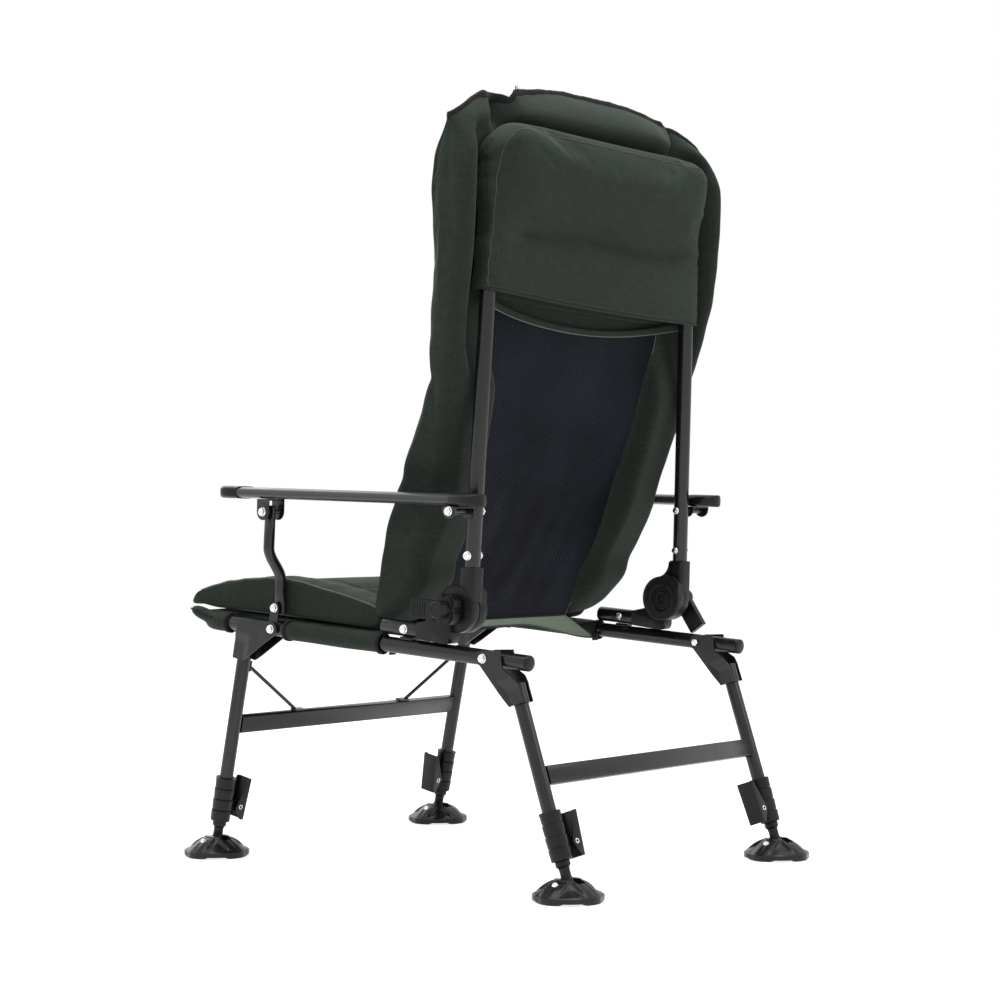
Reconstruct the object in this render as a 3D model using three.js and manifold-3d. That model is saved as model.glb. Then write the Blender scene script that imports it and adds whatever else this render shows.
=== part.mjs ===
// Carp fishing chair: a folding, reclining armchair on four telescopic legs with swivelling mud feet.
// Lengths are millimetres. +Z is up, -Y is the front of the chair and +X is the sitter's left.
// The origin is on the ground, midway between the feet.
import * as THREE from "three";
import { mergeVertices } from "three/addons/utils/BufferGeometryUtils.js";
import Module from "manifold-3d";

const wasm = await Module();
wasm.setup();
const angle = THREE.MathUtils.degToRad;

// General fits
const clearance = 0.3;
const overrun = 2;
const tubeWall = 1.5;
const sheetThickness = 2;
const tubeSides = 12;
const slimSides = 8;

// Seat frame: one tube bent to a U, open at the rear. Distances along a rail count from its rear end.
const railRadius = 11;
const railHalfSpan = 252;
const railRise = angle(3.85);
const railRearY = 264;
const railRearZ = 310;
const frameFrontAlong = 627;
const frameCornerRadius = 45;
const cornerSteps = 5;
const railCapFlange = 3;
const railCapPlugLength = 12;
const frontPivotAlong = 467;
const rearPivotAlong = 67;
const postAlong = 214;
const postLength = 22;
const postWidth = 12;

// Armrest strut and the lug that carries it, above the front leg's pivot
const strutPivotAlong = 464.5;
const strutPivotRise = 31;
const lugRadius = 8.5;
const lugRailBite = 1.5;
const lugThickness = 2.8;
const strutRadius = 7.5;
const strutHeadOutset = 29;
const strutBendStartShare = 0.3;
const strutBendEndShare = 0.68;
const strutBendSteps = 6;
const strutHeadShortfall = 9.5;

// Recline hinge: two round plates a side, clamped by a lock knob whose shaft is the axle
const hingeAlong = 129.4;
const hingeRise = 61;
const hingePlateRadius = 33.5;
const axleRadius = 5;
const upperPlateInset = 26;
const upperPlateThickness = 16;
const lowerPlateOutset = 4;
const hingePlateBevel = 1.5;
const hingeSides = 24;
const knobSides = 14;
const hingeRecessRadius = 19;
const hingeRecessDepth = 3;
const stubAlongStart = 192;
const stubAlongEnd = 259;
const stubRise = 25;
const hingeArmHalfWidth = 11;
const hingeArmTopRise = 36;
const hingeNeckAlong = 157;
const hingeNeckRise = 45.5;
const hingeNoseAlong = 140;
const hingeNoseRise = 20.5;
const hingeNoseRadius = 8.8;
const hingeSpigotLength = 20;

// Lock knob: shaft, boss, collar plate, round cap and one wing
const knobBossRadius = 15;
const knobBossThickness = 7;
const knobPlateHalfWidth = 12;
const knobPlateHalfHeight = 21;
const knobPlateThickness = 16;
const knobCapRadius = 9.5;
const knobCapThickness = 13;
const knobWingHalfWidth = 12.5;
const knobWingReach = 44;
const knobWingThickness = 5;
const leftWingTurn = angle(0);
const rightWingTurn = angle(128);

// Back frame: one tube bent to an upside-down U
const backLean = angle(2.9);
const backTubeOffset = 19.5;
const backTubeInset = 4.3;
const backConverge = angle(1.585);
const backTopRise = 622;
const backCornerRadius = 55;
const socketHalfWidth = 13;
const socketBottomRise = 1;
const socketTopRise = 58;
const tubeSeatRise = 34.5;
const spigotRise = 88;
const spigotRadius = 8.8;

// Armrest: a flat oval tube between moulded caps, on two folded brackets
const armPivotRise = 134.6;
const armRise = angle(1.6);
const armOutset = 28;
const armWidth = 40;
const armThickness = 16;
const armCentreRise = 15.5;
const armFrontReach = 450;
const armRearReach = 43;
const armCapLength = 44;
const armCapGrowth = 1;
const armCapBevel = 4;
const armFrontPivotInset = 96;
const armFrontPivotDrop = 11.3;
const armBracketLength = 24;
const armBracketOverhang = 12;
const rearBracketInset = 21;
const rearBracketOutset = 20;
const frontBracketInset = 15.5;
const frontBracketOutset = 17;

// Bolts
const boltRadius = 3;
const boltHeadRadius = 6.2;
const boltHeadThickness = 4.2;
const boltNutThickness = 4.6;
const hexSides = 6;

// Legs: an outer tube, an inner leg that slides in it, and a mud foot that tilts on a cross bolt
const frontFootY = -329;
const rearFootY = 331;
const frontLegLean = angle(11.8);
const rearLegLean = angle(18.7);
const legRadius = 10;
const footPivotRise = 22;
const outerLegBottom = 36;
const frontLegTop = 312;
const rearLegTop = 274;
const cheekGap = 26.6;
const pivotTailRadius = 11;

// Front leg bracket: reaches are distances from the leg's axis towards the middle of the seat
const frontBracketTopReach = -26;
const frontBracketTopRise = 337;
const frontBracketTipReach = -11.6;
const frontBracketTipRise = 279;
const frontWebTopRise = 311;

// Rear leg bracket
const rearBracketTopReach = 1;
const rearBracketTopRise = 322;
const rearNotchReach = 4.6;
const rearNotchRise = 297;
const rearShoulderReach = -9;
const rearShoulderRise = 281;
const rearBracketTipReach = -11.6;
const rearBracketTipRise = 246;

// Cross bars and stays
const barHeight = 26;
const barDepth = 15;
const barCorner = 2.5;
const frontBarRise = 179;
const rearBarRise = 146;
const stayRadius = 2.8;
const stayLowerInset = 127;
const stayTopRise = 268;
const stayTabLength = 16;
const stayTabWidth = 11;
const stayTabThickness = 2.4;

// Clamp collar and cam lever at the foot of each outer leg
const collarBottom = 32;
const collarLength = 66;
const collarRadius = 14.6;
const collarBandDepth = 0.8;
const collarBands = 4;
const collarSides = 14;
const collarLugWidth = 12;
const collarLugHeight = 15;
const leverPivotReach = 26;
const leverPivotRise = 53;
const leverPinRadius = 2.2;
const leverWidth = 26;
const leverTop = 42;
const leverDrop = 20;
const leverWall = 2;
const leverDepth = 9;
const leverFlare = 6;
const leverTipWidth = 6;

// Inner leg and mud foot
const innerLegRadius = 7.2;
const innerLegTop = 196;
const bushRadius = 10;
const bushHeight = 8;
const footRadius = 49;
const footRim = 9;
const footHubRadius = 19;
const footHeight = 30;
const footLobes = 4;
const footValleyShare = 0.32;
const footWaistShare = 0.05;
const footSlotHalfLength = 14.6;
const footSlotFloor = 8;
const footPinRadius = 3;
const footSides = 24;

// Seat sling: cloth between the rails, sewn to sleeves round them
const clothThickness = 2.4;
const slingRearAlong = 262;
const slingSag = 8;
const sleeveGapStart = 447;
const sleeveGapEnd = 561;
const cheekRoom = 8;

// Seat pad
const seatPadInset = 6;
const seatPadRearAlong = 280;
const seatPadFrontAlong = 647;
const seatPadCrown = 81;
const seatPadSeat = 14.2;
const seatPadEdge = 9;
const seatPadGroove = 9;
const seatPadFrontTuck = 13;
const seatGrooveShare = 0.62;
const grooveWidthShare = 0.1;
const rimStartShare = 0.8;

// Back pad: heights count up from its bottom edge, depths from the hinge axis towards the rear
const backPadBottom = -14;
const backPadHeight = 747.5;
const backPadWidthShare = 1.1468;
const backPadReach = 100;
const backPadEdge = 12;
const backPadGroove = 10;
const backPadCrease = 9;
const padRearGap = 0.6;
const wingDrop = 21;
const wingCornerDrop = 52;
const channelShare = 0.585;
const creaseShare = 0.44;
const meshEdgeShare = 0.66;
const wingStartShare = 0.865;
const lowWingEndShare = 0.4;
const highWingStartShare = 0.55;
const rimRoundShare = 0.75;
const topRoundShare = 0.9;
const rearRimShare = 0.92;

// Mesh panel on the back of the pad
const meshBottom = -35;
const meshTop = 415;
const meshInset = 57;
const meshThickness = 2.4;
const meshTuckShare = 0.35;

// Head hood: a padded pocket over the top of the back frame
const hoodBottom = 426;
const hoodTop = 658;
const hoodInset = 1;
const hoodPlump = 17;
const hoodFlapWall = 3;
const hoodCreaseRise = 515;
const hoodPlumpEnd = 1.12;
const hoodClosingStart = 0.94;
const hoodSquareness = 6;
const hoodRoomStartShare = 0.5;
const backingRoom = 90;

// Tables of shares. The seat pad's go by its length, and give shares of its crown and of its half width.
const seatTopShares = [
  [0, 0.55], [0.06, 0.64], [0.26, 0.84], [0.5, 1], [0.64, 0.92], [0.9, 0.68], [0.97, 0.52], [1, 0.42],
];
const seatPlanShares = [[0, 0.95], [0.05, 0.99], [0.3, 1], [0.85, 1], [0.96, 0.985], [1, 0.95]];
const seatHalfShares = [0, 0.25, 0.45, 0.54, seatGrooveShare, 0.7, 0.8, 0.88, 0.95, 1];
const seatAlongShares = [0, 0.04, 0.12, 0.24, 0.37, 0.5, 0.62, 0.74, 0.84, 0.92, 0.97, 1];

// The back pad's go by its height, and give shares of its reach or of its half width
const frontDepthShares = [
  [0, -1.5], [0.1, -1.32], [0.18, -1.18], [0.28, -0.92], [0.33, -0.7], [0.4, -0.4], [0.44, -0.29],
  [0.56, -0.2], [0.68, -0.14], [0.78, -0.13], [0.86, -0.02], [0.93, 0.11], [1, 0.2],
];
const meshDepthShares = [
  [0, -1.31], [0.025, -1.22], [0.08, -1.04], [0.13, -0.83], [0.215, -0.57], [0.29, -0.38], [0.36, -0.21],
  [0.45, -0.04], [0.55, 0.12], [0.68, 0.24], [0.8, 0.29], [0.9, 0.31], [1, 0.3],
];
const wingBackShares = [
  [0, 0.05], [0.03, 0.2], [0.07, 0.33], [0.11, 0.2], [0.22, 0.26], [0.36, 0.2], [0.45, 0.24], [0.55, 0.31],
  [0.65, 0.36], [0.8, 0.37], [0.9, 0.25], [0.96, 0.1], [1, 0],
];
const halfWidthShares = [
  [0, 0.845], [0.1, 0.872], [0.18, 0.885], [0.25, 0.888], [0.3, 0.92], [0.33, 0.935], [0.4, 0.958], [0.44, 0.965],
  [0.5, 0.985], [0.68, 0.995], [0.8, 1], [0.9, 0.99], [1, 0.965],
];
const backHalfShares = [0, 0.28, 0.535, channelShare, 0.635, 0.7, 0.77, wingStartShare, 0.92, 0.97, 1];
const backUpShares = [
  0, 0.03, 0.08, 0.15, 0.22, 0.29, 0.35, 0.41, creaseShare, 0.48, 0.57, 0.67, 0.78, 0.87, 0.94, 1,
];

// The mesh panel's and the hood's go by their own heights, and give shares of their half widths
const meshWidthShares = [[0, 0.82], [0.1, 0.87], [0.25, 0.915], [0.5, 0.945], [0.75, 0.97], [1, 1]];
const hoodWidthShares = [[0, 0.985], [0.4, 0.985], [0.75, 1], [0.92, 0.985], [1, 0.93]];
const hoodUpShares = [0, 0.12, 0.24, 0.34, 0.42, 0.52, 0.62, 0.72, 0.82, 0.9, 0.96, 1];
const hoodHalfShares = [0, 0.25, 0.5, 0.7, 0.85, 0.94, 1];

// Places across the chair that follow from the span of the rails
const upperPlateInnerX = railHalfSpan - upperPlateInset;
const upperPlateOuterX = upperPlateInnerX + upperPlateThickness;
const lowerPlateOuterX = railHalfSpan + lowerPlateOutset;
const backTubeHalfSpan = railHalfSpan - backTubeInset;
const strutHeadX = railHalfSpan + strutHeadOutset;
const armX = railHalfSpan + armOutset;
const armFrontPivotReach = armFrontReach - armFrontPivotInset;
const rearBracketInnerX = armX - rearBracketInset;
const rearBracketOuterX = armX + rearBracketOutset;
const frontBracketInnerX = armX - frontBracketInset;
const frontBracketOuterX = armX + frontBracketOutset;
const stayLowerX = railHalfSpan - stayLowerInset;
const seatPadHalfWidth = railHalfSpan - seatPadInset;
const backPadHalfWidth = railHalfSpan * backPadWidthShare;
const meshHalfWidth = railHalfSpan - meshInset;
const hoodHalfWidth = railHalfSpan - hoodInset;

// Finishes
const finishes = {
  frame: { color: 0x24262a, roughness: 0.45, metalness: 0.6 },
  plastic: { color: 0x141517, roughness: 0.55, metalness: 0 },
  armrest: { color: 0x2c2e31, roughness: 0.5, metalness: 0.1 },
  steel: { color: 0xc9ccd0, roughness: 0.22, metalness: 1 },
  cloth: { color: 0x2a3a2b, roughness: 0.95, metalness: 0 },
  mesh: { color: 0x141a26, roughness: 0.9, metalness: 0 },
};

const unitX = new THREE.Vector3(1, 0, 0);
const unitY = new THREE.Vector3(0, 1, 0);
const unitZ = new THREE.Vector3(0, 0, 1);
const point = (x, y, z) => new THREE.Vector3(x, y, z);

// Solids

// The geometry with position alone, its shared vertices merged and its collapsed faces left out
function welded(geometry) {
  const bare = geometry.clone();
  for (const name of Object.keys(bare.attributes)) {
    if (name !== "position") bare.deleteAttribute(name);
  }
  const merged = mergeVertices(bare);
  const old = merged.index.array;
  const kept = [];
  for (let i = 0; i < old.length; i += 3) {
    const [a, b, c] = [old[i], old[i + 1], old[i + 2]];
    if (a !== b && b !== c && c !== a) kept.push(a, b, c);
  }
  merged.setIndex(kept);
  return merged;
}

function toSolid(geometry) {
  const merged = welded(geometry);
  const vertProperties = Float32Array.from(merged.attributes.position.array);
  const triVerts = Uint32Array.from(merged.index.array);
  return new wasm.Manifold(new wasm.Mesh({ numProp: 3, vertProperties, triVerts }));
}

function toGeometry(solid) {
  const mesh = solid.getMesh();
  const geometry = new THREE.BufferGeometry();
  geometry.setAttribute("position", new THREE.BufferAttribute(mesh.vertProperties, 3));
  geometry.setIndex(new THREE.BufferAttribute(mesh.triVerts, 1));
  geometry.computeVertexNormals();
  return geometry;
}

function join(first, ...others) {
  return toGeometry(others.reduce((sum, next) => sum.add(toSolid(next)), toSolid(first)));
}

function cut(first, ...tools) {
  return toGeometry(tools.reduce((rest, tool) => rest.subtract(toSolid(tool)), toSolid(first)));
}

// The same body on the other side of the chair, with its faces turned out again
function mirrored(geometry) {
  const copy = welded(geometry);
  copy.scale(-1, 1, 1);
  const index = copy.index.array;
  for (let i = 0; i < index.length; i += 3) {
    [index[i], index[i + 1]] = [index[i + 1], index[i]];
  }
  copy.computeVertexNormals();
  return copy;
}

// Tubes

// A centre line through chosen stations, with each section square to the mean of its two stretches
class BentLine extends THREE.Curve {
  constructor(stations) {
    super();
    this.stations = stations;
  }

  getPoint(t, target = new THREE.Vector3()) {
    const last = this.stations.length - 1;
    const nearest = Math.round(t * last);
    return target.copy(this.stations[nearest]);
  }

  getPointAt(u, target) {
    return this.getPoint(u, target);
  }

  getSpacedPoints(divisions) {
    return this.getPoints(divisions);
  }

  getTangentAt(u, target = new THREE.Vector3()) {
    const last = this.stations.length - 1;
    const here = Math.round(u * last);
    const stretch = (from) => this.stations[from + 1].clone().sub(this.stations[from]).normalize();
    const before = stretch(Math.max(here - 1, 0));
    const after = stretch(Math.min(here, last - 1));
    return target.copy(before.add(after).normalize());
  }
}

function circlePoints(radius, sides) {
  return Array.from({ length: sides }, (_, i) => {
    const turn = (2 * Math.PI * i) / sides;
    return new THREE.Vector2(radius * Math.cos(turn), radius * Math.sin(turn));
  });
}

// A round bar or, with a bore, a tube along the stations
function tube(stations, radius, sides = tubeSides, bore = 0) {
  const section = new THREE.Shape(circlePoints(radius, sides));
  if (bore > 0) section.holes.push(new THREE.Path(circlePoints(bore, sides)));
  const extrudePath = new BentLine(stations);
  return new THREE.ExtrudeGeometry(section, { steps: stations.length - 1, bevelEnabled: false, extrudePath });
}

// A cylinder along X through (y, z)
function crossPin(y, z, radius, lowX, highX, sides = tubeSides) {
  return tube([point(lowX, y, z), point(highX, y, z)], radius, sides);
}

// An arc of stations from one direction to another, starting at a tangent point
function bend(start, from, to, radius, steps = cornerSteps) {
  const turn = from.angleTo(to);
  const side = to.clone().addScaledVector(from, -to.dot(from)).normalize();
  return Array.from({ length: steps + 1 }, (_, i) => {
    const part = (turn * i) / steps;
    const ahead = radius * Math.sin(part);
    const across = radius * (1 - Math.cos(part));
    return start.clone().addScaledVector(from, ahead).addScaledVector(side, across);
  });
}

// Plates

// An outline drawn in (y, z), made thick along +X from lowX
function crossPlate(outline, lowX, thickness) {
  const shape = new THREE.Shape(outline.map(([y, z]) => new THREE.Vector2(y, z)));
  const geometry = new THREE.ExtrudeGeometry(shape, { depth: thickness, bevelEnabled: false });
  geometry.applyMatrix4(new THREE.Matrix4().makeBasis(unitY, unitZ, unitX));
  return geometry.translate(lowX, 0, 0);
}

function box(lowX, highX, lowY, highY, lowZ, highZ) {
  const geometry = new THREE.BoxGeometry(highX - lowX, highY - lowY, highZ - lowZ);
  return geometry.translate((lowX + highX) / 2, (lowY + highY) / 2, (lowZ + highZ) / 2);
}

// Points of an arc round (y, z), from one angle to another
function arc(y, z, radius, from, to, steps) {
  return Array.from({ length: steps + 1 }, (_, i) => {
    const turn = from + ((to - from) * i) / steps;
    return [y + radius * Math.cos(turn), z + radius * Math.sin(turn)];
  });
}

// A disc along X with its two edges bevelled
function disc(y, z, radius, lowX, highX, bevel, sides) {
  const profile = [
    [0, lowX],
    [radius - bevel, lowX],
    [radius, lowX + bevel],
    [radius, highX - bevel],
    [radius - bevel, highX],
    [0, highX],
  ];
  const points = profile.map(([r, along]) => new THREE.Vector2(r, along));
  const geometry = new THREE.LatheGeometry(points, sides);
  geometry.applyMatrix4(new THREE.Matrix4().makeBasis(unitZ, unitX, unitY));
  return geometry.translate(0, y, z);
}

// Soft forms

// A closed body between two surfaces over one grid of shares, joined round its rim
function bodyBetween(near, far, us, vs) {
  const positions = [];
  for (const surface of [near, far]) {
    for (const v of vs) {
      for (const u of us) positions.push(...surface(u, v).toArray());
    }
  }
  const at = (layer, i, j) => layer * us.length * vs.length + j * us.length + i;
  const index = [];
  const quad = (a, b, c, d) => index.push(a, b, c, a, c, d);
  const lastU = us.length - 1;
  const lastV = vs.length - 1;
  for (let j = 0; j < lastV; j += 1) {
    for (let i = 0; i < lastU; i += 1) {
      quad(at(0, i, j), at(0, i + 1, j), at(0, i + 1, j + 1), at(0, i, j + 1));
      quad(at(1, i, j), at(1, i, j + 1), at(1, i + 1, j + 1), at(1, i + 1, j));
    }
    quad(at(0, 0, j), at(0, 0, j + 1), at(1, 0, j + 1), at(1, 0, j));
    quad(at(0, lastU, j + 1), at(0, lastU, j), at(1, lastU, j), at(1, lastU, j + 1));
  }
  for (let i = 0; i < lastU; i += 1) {
    quad(at(1, i, 0), at(1, i + 1, 0), at(0, i + 1, 0), at(0, i, 0));
    quad(at(0, i, lastV), at(0, i + 1, lastV), at(1, i + 1, lastV), at(1, i, lastV));
  }
  const geometry = new THREE.BufferGeometry();
  geometry.setAttribute("position", new THREE.Float32BufferAttribute(positions, 3));
  geometry.setIndex(index);
  geometry.computeVertexNormals();
  return geometry;
}

// A value read smoothly from a table of [place share, value share] rows
function readShares(rows, place) {
  const last = rows.length - 1;
  const next = Math.max(1, rows.findIndex(([at], i) => i === last || at >= place));
  const [start, low] = rows[next - 1];
  const [end, high] = rows[next];
  const part = THREE.MathUtils.clamp((place - start) / (end - start), 0, 1);
  return low + (high - low) * part;
}

const evenShares = (count) => Array.from({ length: count + 1 }, (_, i) => i / count);

// Places across a pad from edge to edge, with extra ones at its rims and channels
function acrossShares(halfShares) {
  return [...halfShares.slice(1).reverse().map((share) => -share), ...halfShares];
}

// A sewn groove: 1 on the stitch line, falling to 0 at its width
function groove(distance, width) {
  return Math.max(0, 1 - Math.abs(distance) / width);
}

// Scene graph helpers
const chair = new THREE.Group();

function addPiece(parent, name, geometry, finish) {
  const mesh = new THREE.Mesh(geometry, new THREE.MeshStandardMaterial(finishes[finish]));
  mesh.name = name;
  parent.add(mesh);
  return mesh;
}

function addPair(parent, name, geometry, finish) {
  addPiece(parent, `${name}_left`, geometry, finish);
  addPiece(parent, `${name}_right`, mirrored(geometry), finish);
}

// A turned group: its own axes lean by the given turn about X
function place(parent, position, turn) {
  const group = new THREE.Group();
  group.position.copy(position);
  group.rotation.x = turn;
  parent.add(group);
  group.updateWorldMatrix(true, false);
  return group;
}

const inFrameOf = (group, world) => group.worldToLocal(world.clone());

const seat = place(chair, point(0, railRearY, railRearZ), -railRise);
const seatPoint = (x, along, rise) => seat.localToWorld(point(x, -along, rise));
const frontPivot = seatPoint(0, frontPivotAlong, 0);
const rearPivot = seatPoint(0, rearPivotAlong, 0);
const hingePoint = seatPoint(0, hingeAlong, hingeRise);
const back = place(chair, hingePoint, -backLean);

// Seat frame

// The U tube's centre line, from one rail's end round the front to the other
function frameLine(startAlong = 0) {
  const straightEnd = frameFrontAlong - frameCornerRadius;
  const forward = point(0, -1, 0);
  const inward = point(-1, 0, 0);
  const leftCorner = bend(point(railHalfSpan, -straightEnd, 0), forward, inward, frameCornerRadius);
  const half = [point(railHalfSpan, -startAlong, 0), ...leftCorner];
  const otherHalf = half.map((p) => point(-p.x, p.y, p.z)).reverse();
  return [...half, ...otherHalf];
}

const railCheekX = railHalfSpan + cheekGap / 2;
const lugX = railHalfSpan + railRadius - lugRailBite;

function lugPlate() {
  const legY = -frontPivotAlong;
  const strutY = -strutPivotAlong;
  const lean = Math.atan2(strutPivotRise, strutY - legY) - Math.PI / 2;
  const lower = arc(legY, 0, lugRadius, Math.PI + lean, 2 * Math.PI + lean, slimSides);
  const upper = arc(strutY, strutPivotRise, lugRadius, lean, Math.PI + lean, slimSides);
  return crossPlate([...lower, ...upper], lugX, lugThickness);
}

function seatFrame() {
  const hole = boltRadius + clearance;
  const farX = railCheekX + overrun;
  const postTop = stubRise - railRadius - clearance;
  const postLow = railRadius - lugRailBite;
  const lug = lugPlate();
  const post = box(
    railHalfSpan - postWidth / 2, railHalfSpan + postWidth / 2,
    -postAlong - postLength / 2, -postAlong + postLength / 2, postLow, postTop,
  );
  const bare = tube(frameLine(), railRadius, tubeSides, railRadius - tubeWall);
  const solid = join(bare, lug, mirrored(lug), post, mirrored(post));
  const pivots = [[frontPivotAlong, 0], [rearPivotAlong, 0]];
  const drills = pivots.map(([along, rise]) => crossPin(-along, rise, hole, -farX, farX, slimSides));
  drills.push(crossPin(-strutPivotAlong, strutPivotRise, hole, -farX, farX, slimSides));
  return cut(solid, ...drills);
}

// A hex-headed bolt along X, from its head's outer face down to a nut or a plain end
function bolt(y, z, shoulderX, endX, nut = true) {
  const direction = Math.sign(shoulderX - endX);
  const headX = shoulderX + direction * boltHeadThickness;
  const span = (a, b) => [Math.min(a, b), Math.max(a, b)];
  const parts = [
    crossPin(y, z, boltHeadRadius, ...span(shoulderX, headX), hexSides),
    crossPin(y, z, boltRadius, ...span(shoulderX + direction * overrun, endX), slimSides),
  ];
  if (nut) {
    const nutStart = endX + direction * boltNutThickness;
    parts.push(crossPin(y, z, boltHeadRadius, ...span(endX, nutStart), hexSides));
  }
  return join(...parts);
}

const cheekOuterX = railCheekX + sheetThickness;
const innerCheekX = railHalfSpan - cheekGap / 2 - sheetThickness;
const strutOuterX = lugX - clearance;

function addSeatFrame() {
  addPiece(seat, "seat_frame", seatFrame(), "frame");
  const plugRadius = railRadius - tubeWall - clearance;
  const capAt = (y) => point(railHalfSpan, y, 0);
  const flange = tube([capAt(clearance), capAt(clearance + railCapFlange)], railRadius);
  const plug = tube([capAt(-railCapPlugLength), capAt(clearance + railCapFlange / 2)], plugRadius);
  addPair(seat, "rail_end_cap", join(flange, plug), "plastic");
  const endX = innerCheekX - clearance - boltNutThickness;
  const headX = cheekOuterX + clearance;
  addPair(seat, "front_leg_pivot_bolt", bolt(-frontPivotAlong, 0, headX, endX), "steel");
  addPair(seat, "rear_leg_pivot_bolt", bolt(-rearPivotAlong, 0, headX, endX), "steel");
  const lugOuterX = lugX + lugThickness + clearance;
  const strutBolt = bolt(-strutPivotAlong, strutPivotRise, lugOuterX, strutOuterX - 2 * strutRadius, false);
  addPair(seat, "strut_pivot_bolt", strutBolt, "steel");
}

// Recline hinge

const lowerPlateInnerX = upperPlateOuterX + clearance;
const axleHole = axleRadius + clearance;

// The fixed half: a disc with a thick arm that plugs into the stub tube and rests its nose on the rail
function lowerHingePlate() {
  const y = -hingeAlong;
  const noseY = -hingeNoseAlong;
  const plate = disc(
    y, hingeRise, hingePlateRadius, lowerPlateInnerX, lowerPlateOuterX, hingePlateBevel, hingeSides,
  );
  const stubY = -stubAlongStart;
  const armBottom = stubRise - hingeArmHalfWidth;
  const arm = crossPlate([
    ...arc(noseY, hingeNoseRise, hingeNoseRadius, -Math.PI / 2, 0, slimSides / 2),
    [noseY + hingeNoseRadius, hingeNeckRise],
    [-hingeNeckAlong, hingeNeckRise],
    [stubY, hingeArmTopRise],
    [stubY, armBottom],
  ], railHalfSpan - hingeArmHalfWidth, 2 * hingeArmHalfWidth);
  const spigotTip = point(railHalfSpan, stubY - hingeSpigotLength, stubRise);
  const spigotRoot = point(railHalfSpan, stubY + overrun, stubRise);
  const spigot = tube([spigotRoot, spigotTip], railRadius - tubeWall - clearance);
  // Room for the moving disc beside the arm
  const sweep = crossPin(
    y, hingeRise, hingePlateRadius + clearance, upperPlateInnerX - overrun, lowerPlateInnerX, hingeSides,
  );
  const bore = crossPin(y, hingeRise, axleHole, lowerPlateInnerX - overrun, lowerPlateOuterX + overrun);
  return cut(join(plate, arm, spigot), sweep, bore);
}

const tubeXAt = (rise) => backTubeHalfSpan - rise * Math.tan(backConverge);

// The moving half: a disc, a curved web and a socket with a spigot for the back tube
function upperHingePlate() {
  const plate = disc(0, 0, hingePlateRadius, upperPlateInnerX, upperPlateOuterX, hingePlateBevel, hingeSides);
  const socketX = tubeXAt((socketBottomRise + socketTopRise) / 2);
  const lowX = socketX - socketHalfWidth;
  const highX = socketX + socketHalfWidth;
  const lowY = backTubeOffset - socketHalfWidth;
  const highY = backTubeOffset + socketHalfWidth;
  const socket = box(lowX, highX, lowY, highY, socketBottomRise, socketTopRise);
  const web = crossPlate([
    [-hingePlateRadius * Math.sin(Math.PI / 4), hingePlateRadius * Math.cos(Math.PI / 4)],
    [0, 0],
    [highY, socketBottomRise],
    [highY, socketTopRise],
    [lowY, socketTopRise],
    ...arc(lowY - socketHalfWidth, socketTopRise, socketHalfWidth, 0, -Math.PI / 3, slimSides).slice(1),
  ], upperPlateInnerX, upperPlateOuterX - upperPlateInnerX);
  const top = (rise) => point(tubeXAt(rise), backTubeOffset, rise);
  const room = tube([top(tubeSeatRise), top(socketTopRise + overrun)], railRadius + clearance);
  const spigot = tube([top(tubeSeatRise - overrun), top(spigotRise)], spigotRadius, slimSides);
  const sweep = crossPin(0, 0, hingePlateRadius + 2 * clearance, upperPlateOuterX, highX + overrun, hingeSides);
  const bore = crossPin(0, 0, axleHole, upperPlateInnerX - overrun, upperPlateOuterX + overrun);
  const recessX = upperPlateInnerX + hingeRecessDepth;
  const recess = disc(0, 0, hingeRecessRadius, upperPlateInnerX - overrun, recessX, hingePlateBevel, knobSides);
  return join(cut(join(plate, web, socket), sweep, bore, recess, room), cut(spigot, sweep));
}

// Shaft, boss, collar plate, cap and wing, drawn for the left side with the wing forward
function lockKnob() {
  const bossX = lowerPlateOuterX + clearance;
  const plateX = bossX + knobBossThickness;
  const capX = plateX + knobPlateThickness;
  const shaftX = upperPlateInnerX + hingeRecessDepth + sheetThickness;
  const shaft = crossPin(0, 0, axleRadius, shaftX, bossX + overrun);
  const boss = crossPin(0, 0, knobBossRadius, bossX, plateX + overrun, knobSides);
  const plate = box(
    plateX, capX, -knobPlateHalfWidth, knobPlateHalfWidth, -knobPlateHalfHeight, knobPlateHalfHeight,
  );
  const cap = disc(0, 0, knobCapRadius, capX - overrun, capX + knobCapThickness, hingePlateBevel, knobSides);
  const wing = box(
    capX - knobWingThickness, capX, -knobWingReach, 0, -knobWingHalfWidth, knobWingHalfWidth,
  );
  return join(shaft, boss, plate, cap, wing);
}

function addHinges() {
  const stubBore = railRadius - tubeWall;
  const stubAt = (along) => point(railHalfSpan, -along, stubRise);
  const stub = tube([stubAt(stubAlongStart + clearance), stubAt(stubAlongEnd)], railRadius, tubeSides, stubBore);
  addPair(seat, "hinge_stub_tube", stub, "frame");
  addPair(seat, "hinge_lower_plate", lowerHingePlate(), "plastic");
  addPair(back, "hinge_upper_plate", upperHingePlate(), "plastic");
  for (const [side, turn] of [["left", leftWingTurn], ["right", rightWingTurn]]) {
    const holder = place(seat, point(0, -hingeAlong, hingeRise), turn);
    const knob = side === "left" ? lockKnob() : mirrored(lockKnob());
    addPiece(holder, `lock_knob_${side}`, knob, "plastic");
  }
}

// Back frame

function backLine() {
  const cornerRise = backTopRise - backCornerRadius;
  const start = point(tubeXAt(tubeSeatRise + clearance), backTubeOffset, tubeSeatRise + clearance);
  const corner = point(tubeXAt(cornerRise), backTubeOffset, cornerRise);
  const up = corner.clone().sub(start).normalize();
  const half = [start, ...bend(corner, up, point(-1, 0, 0), backCornerRadius)];
  const otherHalf = half.map((p) => point(-p.x, p.y, p.z)).reverse();
  return [...half, ...otherHalf];
}

const armBoltX = rearBracketOuterX + clearance;

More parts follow.
